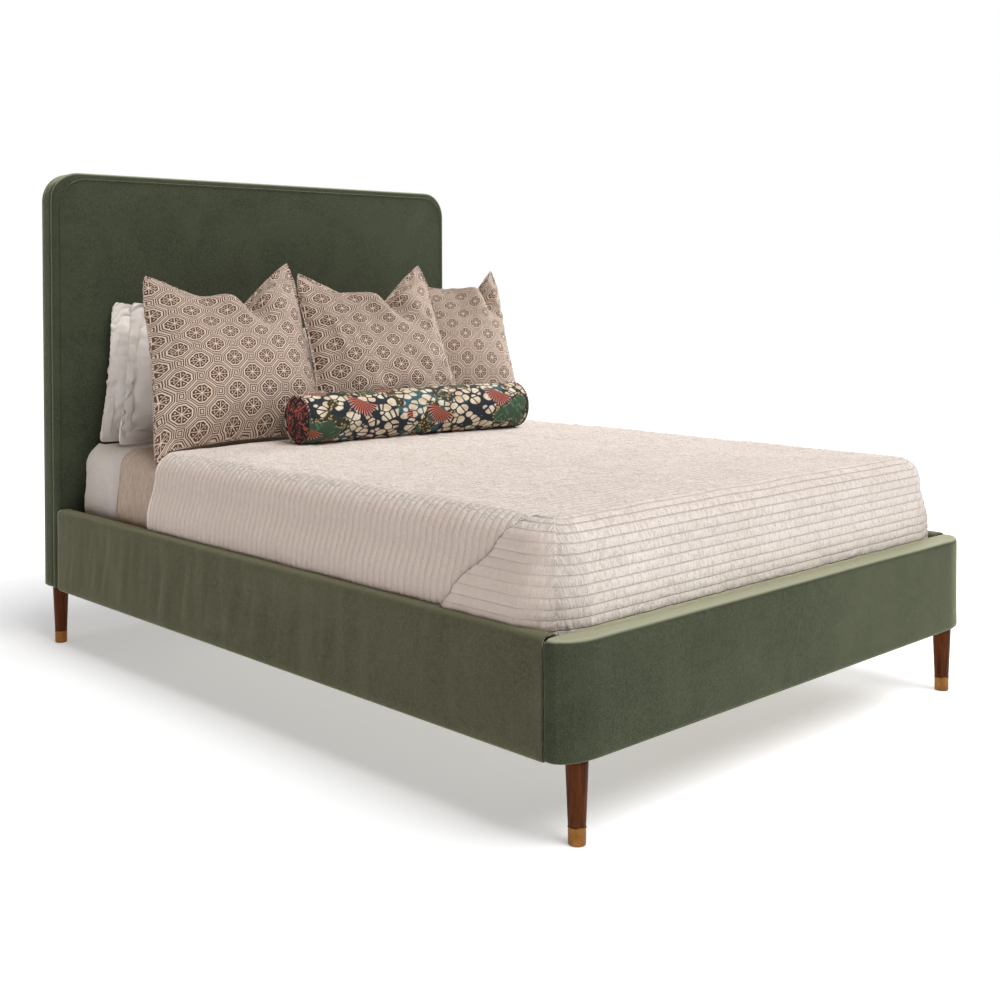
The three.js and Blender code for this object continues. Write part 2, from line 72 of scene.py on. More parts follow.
def value_noise(points, size, seed):
    """Smooth seeded noise from -1 to 1 at each point, with features of that size."""
    points = np.atleast_2d(points) / size
    cell = np.floor(points).astype(np.int64)
    part = points - cell
    part = part * part * (3 - 2 * part)
    total = np.zeros(len(points))
    primes = (73856093, 19349663, 83492791)
    for corner in range(2 ** points.shape[1]):
        weight = np.ones(len(points))
        key = np.full(len(points), seed * 2654435761, np.int64)
        for axis in range(points.shape[1]):
            step = (corner >> axis) & 1
            key ^= (cell[:, axis] + step) * primes[axis]
            weight *= part[:, axis] if step else 1 - part[:, axis]
        key = (key ^ (key >> 13)) * 1274126177
        key = (key ^ (key >> 16)) & 0xFFFFFF
        total += weight * (key / 0x7FFFFF - 1)
    return total


def layered_noise(points, size, seed, layers=3):
    total = 0
    for layer in range(layers):
        total = total + value_noise(points, size / 2 ** layer, seed + layer) / 2 ** layer
    return total


def grid_normals(points):
    """Unit normals of a grid of points, shape (nu, nv, 3)."""
    normal = np.cross(np.gradient(points, axis=0), np.gradient(points, axis=1))
    return normal / np.maximum(np.linalg.norm(normal, axis=2, keepdims=True), TINY)


# ---------------------------------------------------------------- meshes


def scene_object(name, data):
    item = bpy.data.objects.new(name, data)
    bpy.context.scene.collection.objects.link(item)
    return item


def new_object(name, points, faces, uv=None):
    """A mesh object. uv holds one pair for each point."""
    mesh = bpy.data.meshes.new(name)
    mesh.from_pydata([tuple(p) for p in points], [], [tuple(f) for f in faces])
    mesh.update()
    if uv is not None:
        layer = mesh.uv_layers.new(name="UVMap")
        corners = np.zeros(len(mesh.loops), np.int32)
        mesh.loops.foreach_get("vertex_index", corners)
        layer.data.foreach_set("uv", np.asarray(uv, np.float32)[corners].ravel())
    mesh.polygons.foreach_set("use_smooth", [True] * len(mesh.polygons))
    return scene_object(name, mesh)


def grid_faces(nu, nv, wrap_u=False, wrap_v=False):
    """Quads over a grid whose points are stored v fastest."""
    faces = []
    for i in range(nu if wrap_u else nu - 1):
        here, there = i * nv, (i + 1) % nu * nv
        for j in range(nv if wrap_v else nv - 1):
            k = (j + 1) % nv
            faces.append((here + j, there + j, there + k, here + k))
    return faces


def grid_object(name, points, uv=None, wrap_u=False, caps=(False, False)):
    """An object from points of shape (nu, nv, 3). caps closes the first and last v lines."""
    nu, nv = points.shape[:2]
    faces = grid_faces(nu, nv, wrap_u)
    if caps[0]:
        faces.append([i * nv for i in range(nu)])
    if caps[1]:
        faces.append([i * nv + nv - 1 for i in reversed(range(nu))])
    flat_uv = None if uv is None else uv.reshape(-1, 2)
    return new_object(name, points.reshape(-1, 3), faces, flat_uv)


def fix_normals(item):
    bpy.context.view_layer.objects.active = item
    item.select_set(True)
    bpy.ops.object.mode_set(mode="EDIT")
    bpy.ops.mesh.select_all(action="SELECT")
    bpy.ops.mesh.normals_make_consistent(inside=False)
    bpy.ops.object.mode_set(mode="OBJECT")
    item.select_set(False)


def apply_modifier(item, kind, **settings):
    modifier = item.modifiers.new(kind.lower(), kind)
    for key, value in settings.items():
        setattr(modifier, key, value)
    bpy.context.view_layer.objects.active = item
    bpy.ops.object.modifier_apply(modifier=modifier.name)


def tube(name, path, radius, sides=8, closed=True, twist=0.0, place=None):
    """A round tube along a closed or open list of points. place gives each path point's UV."""
    path = np.asarray(path, float)
    if closed:
        tangent = np.roll(path, -1, 0) - np.roll(path, 1, 0)
    else:
        tangent = np.gradient(path, axis=0)
    tangent /= np.maximum(np.linalg.norm(tangent, axis=1, keepdims=True), TINY)
    spin = np.linspace(0, 2 * np.pi, sides, endpoint=False)
    side = np.zeros_like(path)
    reference = np.array([0.0, 0.0, 1.0])
    if abs(tangent[0] @ reference) > 0.9:
        reference = np.array([1.0, 0.0, 0.0])
    for i, t in enumerate(tangent):
        reference = reference - t * (reference @ t)
        reference /= np.linalg.norm(reference)
        side[i] = reference
    other = np.cross(tangent, side)
    wave = 1 + twist * np.cos(3 * spin[None, :] + np.arange(len(path))[:, None] * 1.1)
    across = np.cos(spin)[None, :, None] * side[:, None, :]
    across = across + np.sin(spin)[None, :, None] * other[:, None, :]
    points = path[:, None, :] + radius * wave[..., None] * across
    faces = grid_faces(len(path), sides, wrap_u=closed, wrap_v=True)
    if not closed:
        faces.append(list(range(sides)))
        faces.append([(len(path) - 1) * sides + k for k in reversed(range(sides))])
    uv = np.zeros((len(path), sides, 2))
    if place is None:
        steps = np.linalg.norm(np.diff(path, axis=0, prepend=path[:1]), axis=1)
        uv[..., 0] = steps.cumsum()[:, None]
        uv[..., 1] = radius * spin
    else:
        uv += place[:, None]
    return new_object(name, points.reshape(-1, 3), faces, uv.reshape(-1, 2))


# ---------------------------------------------------------------- material nodes


CHANNEL = 0.0215        # from one stitched line of the quilt to the next


class Wire:
    """A node's output, which can be used in sums."""

    def __init__(self, nodes, socket):
        self.nodes, self.socket = nodes, socket

    def __add__(self, other):
        return self.nodes.math("ADD", self, other)

    def __sub__(self, other):
        return self.nodes.math("SUBTRACT", self, other)

    def __rsub__(self, other):
        return self.nodes.math("SUBTRACT", other, self)

    def __mul__(self, other):
        return self.nodes.math("MULTIPLY", self, other)

    def __truediv__(self, other):
        return self.nodes.math("DIVIDE", self, other)

    def __abs__(self):
        return self.nodes.math("ABSOLUTE", self)


class Nodes:
    """Short forms for building a material's node tree."""

    SOCKETS = {"color": "Base Color", "metal": "Metallic", "sheen": "Sheen Weight",
               "specular": "Specular IOR Level"}

    def __init__(self, name):
        self.material = bpy.data.materials.new(name)
        self.material.use_nodes = True
        self.tree = self.material.node_tree
        self.shader = self.tree.nodes["Principled BSDF"]

    def link(self, value, socket):
        if isinstance(value, Wire):
            self.tree.links.new(value.socket, socket)
        elif socket.type == "RGBA":
            socket.default_value = (*value, 1)
        else:
            socket.default_value = value

    def add(self, kind, inputs, output=0, **settings):
        """A new node with its inputs filled, by name or number. Returns one of its outputs."""
        node = self.tree.nodes.new("ShaderNode" + kind)
        for key, value in settings.items():
            setattr(node, key, value)
        for key, value in inputs.items():
            self.link(value, node.inputs[key])
        return Wire(self, node.outputs[output])

    def math(self, operation, *values):
        return self.add("Math", dict(enumerate(values)), operation=operation)

    def length(self, x, y):
        return self.math("SQRT", x * x + y * y)

    def step(self, value, low, high):
        """0 below low, 1 above high, and an S-curve between."""
        inputs = {"Value": value, "From Min": low, "From Max": high}
        return self.add("MapRange", inputs, interpolation_type="SMOOTHSTEP")

    def fade(self, value, low, high):
        """1 below low, 0 above high, and an S-curve between."""
        return self.math("SUBTRACT", 1.0, self.step(value, low, high))

    def mix(self, share, first, second):
        return self.add("Mix", {0: share, 6: first, 7: second}, 2, data_type="RGBA")

    def coords(self, kind="Object", scale=(1, 1, 1), rotation=(0, 0, 0), turn_first=False):
        """Texture coordinates, scaled and then turned, or turned first."""
        source = self.add("TexCoord", {}, kind)
        if turn_first:
            scale = tuple(1 / s for s in scale)
        return self.add("Mapping", {"Vector": source, "Scale": scale, "Rotation": rotation},
                        vector_type="TEXTURE" if turn_first else "POINT")

    def noise(self, scale, detail=3, vector=None, roughness=0.55, distortion=0.0):
        inputs = {"Vector": vector or self.coords(), "Scale": scale, "Detail": detail,
                  "Roughness": roughness, "Distortion": distortion}
        return self.add("TexNoise", inputs)

    def voronoi(self, scale, vector, output="Distance", feature="F1", randomness=1.0):
        inputs = {"Vector": vector, "Scale": scale, "Randomness": randomness}
        return self.add("TexVoronoi", inputs, output, feature=feature)

    def split(self, vector):
        node = self.add("SeparateXYZ", {0: vector}).socket.node
        return [Wire(self, socket) for socket in node.outputs]

    def facing(self):
        """The parts of the surface normal."""
        return self.split(self.add("NewGeometry", {}, "Normal"))

    def bump(self, height, strength, distance, normal=None):
        inputs = {"Height": height, "Strength": strength, "Distance": distance}
        if normal:
            inputs["Normal"] = normal
        return self.add("Bump", inputs)

    def set(self, **sockets):
        for key, value in sockets.items():
            name = self.SOCKETS.get(key, key.replace("_", " ").title())
            self.link(value, self.shader.inputs[name])
        return self.material


FUZZ = {"sheen": 0.15, "sheen_roughness": 0.5}


def darker(color, share):
    return tuple(c * share for c in color)


def weave(n, vector, threads):
    """A plain weave's height, with that many threads a metre."""
    x, y, _ = n.split(vector)
    turn = threads * 2 * math.pi
    return n.math("SINE", x * turn) * n.math("SINE", y * turn)


def velvet_material(name, tones, streaks):
    """Cut-pile velvet. tones: deep nap, pale nap, worn pile, pile tips, and a painted highlight for
    pile that faces up.
    """
    n = Nodes(name)
    deep, pale, worn, tip, top = tones
    nap = n.noise(5.0, 5, distortion=0.8)
    brushed = n.noise(20, 4, n.coords(scale=(1, 1, 0.16)))
    fleck = n.noise(360, 3, roughness=0.7)
    clump = n.noise(80, 4)
    base = n.mix(n.step(nap, 0.34, 0.70), deep, pale)
    base = n.mix(n.step(brushed, 0.46, 0.74) * streaks, base, worn)
    base = n.mix(n.step(clump, 0.40, 0.68) * 0.30, base, worn)
    base = n.mix(n.step(fleck, 0.40, 0.66) * 0.50, base, tip)
    # painted highlight: faces that point up are lightened towards the last tone, standing in for
    # light on the pile
    base = n.mix(n.step(n.facing()[2], 0.45, 0.98) * 0.80, base, top)
    pile = n.bump(fleck, 0.6, 0.0020, n.bump(brushed, 0.35 * streaks, 0.004))
    return n.set(color=base, roughness=0.92, normal=pile, sheen=1.0, sheen_roughness=0.30,
                 sheen_tint=(0.78, 0.82, 0.54), specular=0.05)


def cotton_material(name, color, shade, threads=900, crinkle=0.0):
    n = Nodes(name)
    base = n.mix(n.step(n.noise(7), 0.3, 0.75), color, shade)
    base = n.mix(n.step(n.noise(240), 0.4, 0.7) * 0.25, base, shade)
    normal = n.bump(weave(n, n.coords("UV"), threads), 0.25, 0.0006)
    if crinkle:
        folds = n.noise(70, 4, n.coords("UV", (1.0, 0.35, 1)), distortion=1.2)
        normal = n.bump(folds, crinkle, 0.004, normal)
    return n.set(color=base, roughness=0.88, normal=normal, specular=0.2, **FUZZ)


def crepe_material(name, color, shade):
    """A thin crinkled cotton: close wavy ribs that run across the bed."""
    n = Nodes(name)
    ribs = n.noise(1.0, 3, n.coords("UV", (28, 190, 1)), distortion=1.6)
    fine = n.noise(420, 2, n.coords("UV"))
    # painted shade: the hollows between the ribs are darkened towards the shade colour
    base = n.mix(n.step(ribs, 0.56, 0.40) * 0.65, color, shade)
    base = n.mix(n.step(fine, 0.4, 0.7) * 0.2, base, shade)
    normal = n.bump(fine, 0.25, 0.0008, n.bump(ribs, 1.0, 0.005))
    return n.set(color=base, roughness=0.9, normal=normal, specular=0.12, **FUZZ)


def wood_material(name, dark, light, grain=(14, 14, 1.2), polish=0.4):
    n = Nodes(name)
    vector = n.coords(scale=grain)
    rings = n.noise(4.5, 5, vector, distortion=1.4)
    pores = n.noise(42, 3, vector)
    base = n.mix(n.step(rings, 0.32, 0.7), dark, light)
    base = n.mix(n.step(pores, 0.55, 0.7) * 0.45, base, darker(dark, 0.6))
    return n.set(color=base, roughness=pores * 0.2 + (polish - 0.08), specular=0.09,
                 normal=n.bump(pores, 0.2, 0.0006))


def metal_material(name, color, roughness):
    n = Nodes(name)
    streak = n.noise(30, 3, n.coords(scale=(1, 1, 60)))
    base = n.mix(n.step(n.noise(38, 4), 0.35, 0.75), color, darker(color, 0.62))
    return n.set(color=base, roughness=streak * 0.22 + (roughness - 0.1), metal=1.0,
                 normal=n.bump(streak, 0.12, 0.0004))


def plain_material(name, color, roughness):
    n = Nodes(name)
    speck = n.noise(300)
    base = n.mix(n.step(speck, 0.35, 0.7), color, darker(color, 0.7))
    return n.set(color=base, roughness=roughness, normal=n.bump(speck, 0.2, 0.0008))


def lining_material(name):
    n = Nodes(name)
    cloth = weave(n, n.coords(rotation=(math.pi / 2, 0, 0)), 700)
    base = n.mix(n.step(n.noise(60), 0.3, 0.7), (0.028, 0.030, 0.033), (0.045, 0.047, 0.05))
    return n.set(color=base, roughness=0.95, normal=n.bump(cloth, 0.4, 0.0008))


ROSETTE_PITCH = (0.116, 0.100)
ROSETTE_SQUEEZE = 0.84
PETAL_END, OUTLINE_SOFT = 0.0215, 0.0005
# the middle and half width of each octagon outline
OCTAGON_BANDS = ((0.0250, 0.0019), (0.0312, 0.0011), (0.0362, 0.0011), (0.0414, 0.0012),
                 (0.0468, 0.0012))


def rosette_material(name):
    """Natural linen printed with eight-petalled rosettes in octagons and outline bands.

    The rosettes stand on two lattices, each in the middle of the other's cells.
    """
    n = Nodes(name)
    vector = n.coords("UV")
    wobble = n.noise(16, 2, vector)
    x, y, _ = n.split(vector)
    places = (x + wobble * 0.006, y + wobble * 0.005)
    cells = []
    for shift in (0.0, 0.5):
        cx, cy = ((n.math("FRACT", place / pitch + shift) - 0.5) * pitch
                  for place, pitch in zip(places, ROSETTE_PITCH))
        cx = cx * ROSETTE_SQUEEZE
        ax, ay = abs(cx), abs(cy)
        octagon = n.math("MAXIMUM", n.math("MAXIMUM", ax, ay), (ax + ay) * 0.76)
        cells.append((n.length(cx, cy), n.math("ARCTAN2", cy, cx), octagon))
    first = n.math("LESS_THAN", cells[0][2], cells[1][2])
    radius, angle, octagon = (a * first + b * (1.0 - first) for a, b in zip(*cells))

    turned, arm = angle * 4.0, radius * 0.25
    spoke = n.fade(abs(n.math("SINE", turned)) * arm, 0.0006, 0.0014)
    lines = spoke * n.step(radius, 0.003, 0.005) * n.math("LESS_THAN", radius, PETAL_END)
    dot = n.length(abs(n.math("COSINE", turned)) * arm, radius - 0.0165)
    marks = [n.fade(dot, 0.0014, 0.0024), n.fade(radius, 0.0030, 0.0038)]
    for middle, half in OCTAGON_BANDS:
        away = abs(octagon - middle)
        marks.append(n.fade(away, half - OUTLINE_SOFT, half + OUTLINE_SOFT))
    for mark in marks:
        lines = n.math("MAXIMUM", lines, mark)

    cream, ink = (0.80, 0.685, 0.585), (0.105, 0.056, 0.036)
    wash = n.noise(9, 3, vector)
    faded = darker(ink, 1.8)
    printed = n.mix(n.step(n.noise(420, 3, vector), 0.42, 0.78), ink, faded)
    printed = n.mix(n.step(wash, 0.4, 0.7) * 0.4, printed, faded)
    normal = n.bump(weave(n, vector, 620), 0.35, 0.0009, n.bump(wash, 0.2, 0.006))
    base = n.mix(lines, printed, cream)
    return n.set(color=base, roughness=0.9, normal=normal, specular=0.12, **FUZZ)


def floral_material(name, strokes_only=False):
    """Dark cotton print: pale pebbles, fans of coral lines, small gold dots and leaf strokes."""
    n = Nodes(name)
    vector = n.coords("UV")
    navy, teal, moss = (0.020, 0.030, 0.040), (0.042, 0.120, 0.150), (0.055, 0.105, 0.060)
    coral, rose, gold = (0.62, 0.16, 0.095), (0.58, 0.29, 0.26), (0.58, 0.41, 0.18)
    pale, tan, scarlet = (0.84, 0.77, 0.63), (0.66, 0.52, 0.36), (0.55, 0.085, 0.065)
    leaf_green, umber = (0.10, 0.20, 0.13), (0.045, 0.045, 0.025)
    patch = n.noise(6.0, 2, vector)

    def stroke(scale, turn, thick):
        distance = n.voronoi(1.0, n.coords("UV", (scale * 0.24, scale, 1), (0, 0, turn), True))
        return n.fade(distance, thick - 0.05, thick + 0.05)

    if strokes_only:
        chosen = n.step(n.noise(34, 1, vector), 0.49, 0.51)
        swap = n.step(n.noise(38, 1, n.coords("UV", rotation=(0, 0, 0.7))), 0.49, 0.51)
        first = n.mix(chosen, stroke(120, 0.5, 0.44), stroke(120, 1.6, 0.44))
        mask = n.mix(swap, first, stroke(120, 2.6, 0.44))
        base = n.mix(mask, navy, n.mix(n.step(patch, 0.4, 0.6), coral, scarlet))
    else:
        second_patch = n.noise(5.2, 2, n.coords("UV", rotation=(0, 0, 1.1)))
        base = n.mix(n.step(second_patch, 0.52, 0.57), navy, teal)
        base = n.mix(n.step(patch, 0.57, 0.61), base, moss)
        leaf = n.math("MAXIMUM", stroke(85, 1.0, 0.30), stroke(85, -0.5, 0.26))
        base = n.mix(leaf * n.step(patch, 0.56, 0.58), base, leaf_green)

        squeezed = n.coords("UV", (0.8, 1.15, 1), (0, 0, 0.5))
        pebble = n.voronoi(38, squeezed, randomness=0.85)
        gap = n.voronoi(38, squeezed, feature="DISTANCE_TO_EDGE", randomness=0.85)
        size = n.noise(13, 2, vector) * 0.7 + 0.24
        dots = n.fade(pebble - size, -0.05, 0.03) * n.step(gap, 0.04, 0.095)
        cream = n.mix(n.step(n.noise(24, 2, vector), 0.35, 0.65), pale, tan)
        base = n.mix(dots * n.fade(patch, 0.575, 0.595), base, cream)
        berries = n.fade(n.voronoi(112, vector, randomness=0.7), 0.30, 0.40)
        zone = n.step(patch, 0.525, 0.54) * n.fade(patch, 0.575, 0.59)
        base = n.mix(zone * (1.0 - berries), base, umber)
        base = n.mix(zone * berries, base, gold)

        # fans: lines that spread from scattered points
        centre = n.voronoi(6.2, vector, "Position")
        away = n.add("VectorMath", {0: vector, 1: centre}, operation="SUBTRACT")
        dx, dy, _ = n.split(away)
        radius = n.length(dx, dy)
        angle = n.math("ARCTAN2", dy, dx) + radius * 5.0
        rays = n.step(n.math("SINE", angle * 30.0), -0.25, 0.25)
        ragged = n.noise(60, 2, vector) * 0.04 + 0.030
        opened = n.step(n.math("COSINE", angle - 2.2), -0.15, 0.05)
        fan = n.fade(radius - ragged, -0.001, 0.001) * opened
        base = n.mix(fan, base, navy)
        base = n.mix(fan * rays, base, n.mix(n.step(radius, 0.03, 0.05), coral, rose))

    normal = n.bump(weave(n, vector, 700), 0.25, 0.0007)
    return n.set(color=base, roughness=0.8, normal=normal, sheen=0.08, specular=0.2)


def quilt_material(name):
    """Washed cotton: stitched channels, with fine puckers that run across each one."""
    n = Nodes(name)
    u, v, _ = n.split(n.coords("UV"))
    row = v / CHANNEL
    part, number = n.math("FRACT", row), n.math("FLOOR", row)
    near = n.math("MINIMUM", part, 1.0 - part)
    groove = n.fade(near, 0.01, 0.10)
    stitches = n.step(n.math("SINE", u * (2 * math.pi / 0.0045)), -0.6, -0.1)
    thread = n.fade(near, 0.015, 0.05) * stitches
    place = n.add("CombineXYZ", {0: u, 1: v * 0.34, 2: number * 0.37})
    crinkle = n.noise(165, 3, place, distortion=0.8)
    sideways = abs(n.facing()[0])
    lively = 1.0 - n.step(sideways, 0.5, 0.9) * 0.6
    ridge = crinkle * (1.0 - groove * 0.5) * lively
    base = n.mix(n.step(n.noise(6), 0.3, 0.75), (0.88, 0.82, 0.775), (0.84, 0.77, 0.72))
    # painted shade: the hollows of the puckers are darkened
    base = n.mix(n.step(crinkle, 0.50, 0.38) * lively * 0.60, base, (0.62, 0.55, 0.49))
    # painted shade: cloth that faces sideways gets a darker, warmer tone, standing in for the
    # shaded sides
    base = n.mix(n.step(sideways, 0.5, 0.95) * 0.75, base, (0.70, 0.585, 0.52))
    # painted shade: the stitched grooves between channels are darkened a little
    base = n.mix(groove * 0.12, base, (0.62, 0.54, 0.47))
    base = n.mix(thread * 0.15, base, (0.50, 0.42, 0.35))
    normal = n.bump(n.noise(600, 2), 0.2, 0.0006, n.bump(ridge, 1.0, 0.0060))
    normal = n.bump(1.0 - groove, 0.28, 0.0018, normal)
    return n.set(color=base, roughness=0.9, normal=normal, sheen=0.12, sheen_roughness=0.5,
                 specular=0.12)


# the last tone of each velvet is the painted highlight on faces that point up, kept faint on the
# rails
VELVET = velvet_material("velvet", (
    (0.038, 0.047, 0.029), (0.054, 0.065, 0.040), (0.074, 0.081, 0.052), (0.105, 0.123, 0.082),
    (0.54, 0.56, 0.42)), 0.16)
VELVET_RAIL = velvet_material("velvet_rail", (
    (0.074, 0.074, 0.044), (0.098, 0.098, 0.061), (0.135, 0.128, 0.084), (0.175, 0.174, 0.118),
    (0.17, 0.175, 0.115)), 0.45)
WALNUT = wood_material("walnut", (0.055, 0.014, 0.003), (0.135, 0.038, 0.009), polish=0.42)
BRASS = metal_material("antique_brass", (0.31, 0.140, 0.040), 0.42)
HARDWOOD = wood_material("hardwood", (0.42, 0.28, 0.15), (0.62, 0.45, 0.27), (3, 3, 3), 0.65)
PLYWOOD = wood_material("birch_plywood", (0.55, 0.40, 0.24), (0.72, 0.57, 0.38), (1.2, 14, 14), 0.6)
STEEL = plain_material("powder_coat", (0.03, 0.03, 0.032), 0.5)
PLASTIC = plain_material("black_plastic", (0.018, 0.018, 0.018), 0.55)
LINING = lining_material("dust_cloth")
TICKING = cotton_material("ticking", (0.80, 0.79, 0.75), (0.72, 0.71, 0.68), 240)
WHITE = cotton_material("white_cotton", (0.84, 0.80, 0.765), (0.79, 0.745, 0.71), crinkle=0.35)
SHEET = cotton_material("sheet_cotton", (0.72, 0.67, 0.625), (0.64, 0.59, 0.545), crinkle=0.8)
SAND = crepe_material("sand_crepe", (0.68, 0.54, 0.44), (0.46, 0.35, 0.27))
QUILT = quilt_material("quilt_cotton")
ROSETTE = rosette_material("rosette_linen")
FLORAL = floral_material("floral_cotton")
FLORAL_RED = floral_material("floral_cotton_strokes", True)


def dress(item, material, slot, body, *replaced):
    """Gives a piece its material and body, and hides the CAD nodes that it stands for. slot is not
    used.
    """
    item.data.materials.clear()
    item.data.materials.append(material)
    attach(item, body)
    if replaced:
        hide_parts(*replaced)


# ---------------------------------------------------------------- camera, light and floor
CAMERA_PLACE = (-2.7469, -2.8600, 1.1192)
CAMERA_YAW, CAMERA_PITCH, CAMERA_ROLL = 42.393, -1.007, -0.202
CAMERA_LENS, SENSOR_WIDTH = 48.085, 36
CAMERA_SHIFT = (0.06, -0.19)
LAMP_COLOR = (1.0, 0.985, 0.965)
KEY_FROM, KEY_SPREAD, KEY_POWER = (0.12, -0.50, 0.86), 40, 2.35
SIDE_PLACE, SIDE_TARGET, SIDE_SIZE, SIDE_POWER = (4.4, 0.6, 2.3), (0.1, 0.3, 0.7), 1.8, 120
WORLD_COLOR, WORLD_STRENGTH = (1.0, 0.845, 0.745, 1), 0.25
FLOOR_HALF = 40
FLOOR_TONES = ((0.90, 0.92, 0.95), (0.92, 0.94, 0.97))
FLOOR_GLOW, FLOOR_GLOW_STRENGTH = (0.91, 0.965, 1.0), 0.34


def add_camera():
    data = bpy.data.cameras.new("camera")
    camera = scene_object("camera", data)
    yaw, pitch, roll = (math.radians(a) for a in (CAMERA_YAW, CAMERA_PITCH, CAMERA_ROLL))
    level = math.cos(pitch)
    ahead = Vector((math.sin(yaw) * level, math.cos(yaw) * level, math.sin(pitch)))
    flat_right = Vector((math.cos(yaw), -math.sin(yaw), 0))
    flat_up = flat_right.cross(ahead)
    right = flat_right * math.cos(roll) + flat_up * math.sin(roll)
    up = flat_up * math.cos(roll) - flat_right * math.sin(roll)
    turn = Matrix((right, up, -ahead)).transposed().to_4x4()
    camera.matrix_world = Matrix.Translation(CAMERA_PLACE) @ turn
    data.lens, data.sensor_width = CAMERA_LENS, SENSOR_WIDTH
    data.shift_x, data.shift_y = CAMERA_SHIFT
    bpy.context.scene.camera = camera


def add_lamps():
    key = bpy.data.lights.new("key", "SUN")
    key.energy, key.color, key.angle = KEY_POWER, LAMP_COLOR, math.radians(KEY_SPREAD)
    light = scene_object("key", key)
    light.location = Vector(KEY_FROM) * 5
    light.rotation_euler = Vector(KEY_FROM).to_track_quat("Z", "Y").to_euler()
    side = bpy.data.lights.new("side", "AREA")
    side.shape, side.size, side.energy, side.color = "DISK", SIDE_SIZE, SIDE_POWER, LAMP_COLOR
    light = scene_object("side", side)
    light.location = SIDE_PLACE
    aim = Vector(SIDE_TARGET) - Vector(SIDE_PLACE)
    light.rotation_euler = aim.to_track_quat("-Z", "Y").to_euler()


def add_world():
    """A soft warm surround for the light, seen by the camera as plain white."""
    world = bpy.data.worlds.new("world")
    world.use_nodes = True
    tree = world.node_tree
    soft = tree.nodes["Background"]
    soft.inputs["Color"].default_value = WORLD_COLOR
    soft.inputs["Strength"].default_value = WORLD_STRENGTH
    seen = tree.nodes.new("ShaderNodeBackground")
    seen.inputs["Color"].default_value = (1, 1, 1, 1)
    seen.inputs["Strength"].default_value = 1.0
    ray = tree.nodes.new("ShaderNodeLightPath")
    both = tree.nodes.new("ShaderNodeMixShader")
    tree.links.new(ray.outputs["Is Camera Ray"], both.inputs[0])
    tree.links.new(soft.outputs[0], both.inputs[1])
    tree.links.new(seen.outputs[0], both.inputs[2])
    tree.links.new(both.outputs[0], tree.nodes["World Output"].inputs["Surface"])
    bpy.context.scene.world = world
    bpy.context.scene.view_settings.view_transform = "Standard"


def add_stage():
    corners = [(x * FLOOR_HALF, y * FLOOR_HALF, 0) for x, y in ((-1, -1), (1, -1), (1, 1), (-1, 1))]
    floor = new_object("floor", corners, [(0, 1, 2, 3)])
    n = Nodes("floor")
    n.set(color=n.mix(n.noise(0.8), *FLOOR_TONES), roughness=0.9, specular=0.0,
          emission_color=FLOOR_GLOW, emission_strength=FLOOR_GLOW_STRENGTH)
    floor.data.materials.append(n.material)
    add_lamps()
    add_world()


# ---------------------------------------------------------------- upholstery
QUARTER = math.pi / 2
HEADBOARD_CORNER = 0.090
FOOT_CORNER = (0.100, 0.052)
SEAM_RADIUS = 0.0012


def arc(cx, cy, rx, ry, start, end, count):
    turn = np.linspace(start, end, count)
    return np.stack([cx + rx * np.cos(turn), cy + ry * np.sin(turn)], 1)


def line(start, end, step):
    length = np.hypot(end[0] - start[0], end[1] - start[1])
    return np.linspace(start, end, max(2, int(round(length / step)) + 1))


def joined(*parts):
    """One list of points from several stretches, with the repeated joints left out."""
    points = [parts[0]]
    for part in parts[1:]:
        same = np.allclose(points[-1][-1], part[0], atol=1e-6)
        points.append(part[1:] if same else part)
    whole = np.concatenate(points)
    return whole[:-1] if np.allclose(whole[0], whole[-1], atol=1e-6) else whole


def arch_loop(inset, bottom, step=0.02):
    """The headboard's outline in (x, z), drawn inwards by inset, always with as many points."""
    half, radius = HALF_WIDTH, HEADBOARD_CORNER
    side, spring = half - radius, BED_HEIGHT - radius
    loop = joined(
        line((-half, bottom), (half, bottom), step),
        line((half, bottom), (half, spring), step),
        arc(side, spring, radius, radius, 0, QUARTER, 12),
        line((side, BED_HEIGHT), (-side, BED_HEIGHT), step),
        arc(-side, spring, radius, radius, QUARTER, math.pi, 12),
        line((-half, spring), (-half, bottom), step))
    if inset == 0:
        return loop
    centre = np.array([0, (bottom + BED_HEIGHT) / 2])
    extent = np.array([half, (BED_HEIGHT - bottom) / 2])
    return centre + (loop - centre) * (extent - inset) / extent


def ring_stack(name, rings, caps=(True, True)):
    """A skin over rings of points with equal counts, shape (rings, points, 3)."""
    item = grid_object(name, np.transpose(rings, (1, 0, 2)), wrap_u=True, caps=caps)
    fix_normals(item)
    return item


def arch_ring(inset, y):
    loop = arch_loop(inset, RAIL_BOTTOM)
    return np.stack([loop[:, 0], np.full(len(loop), y), loop[:, 1]], 1)


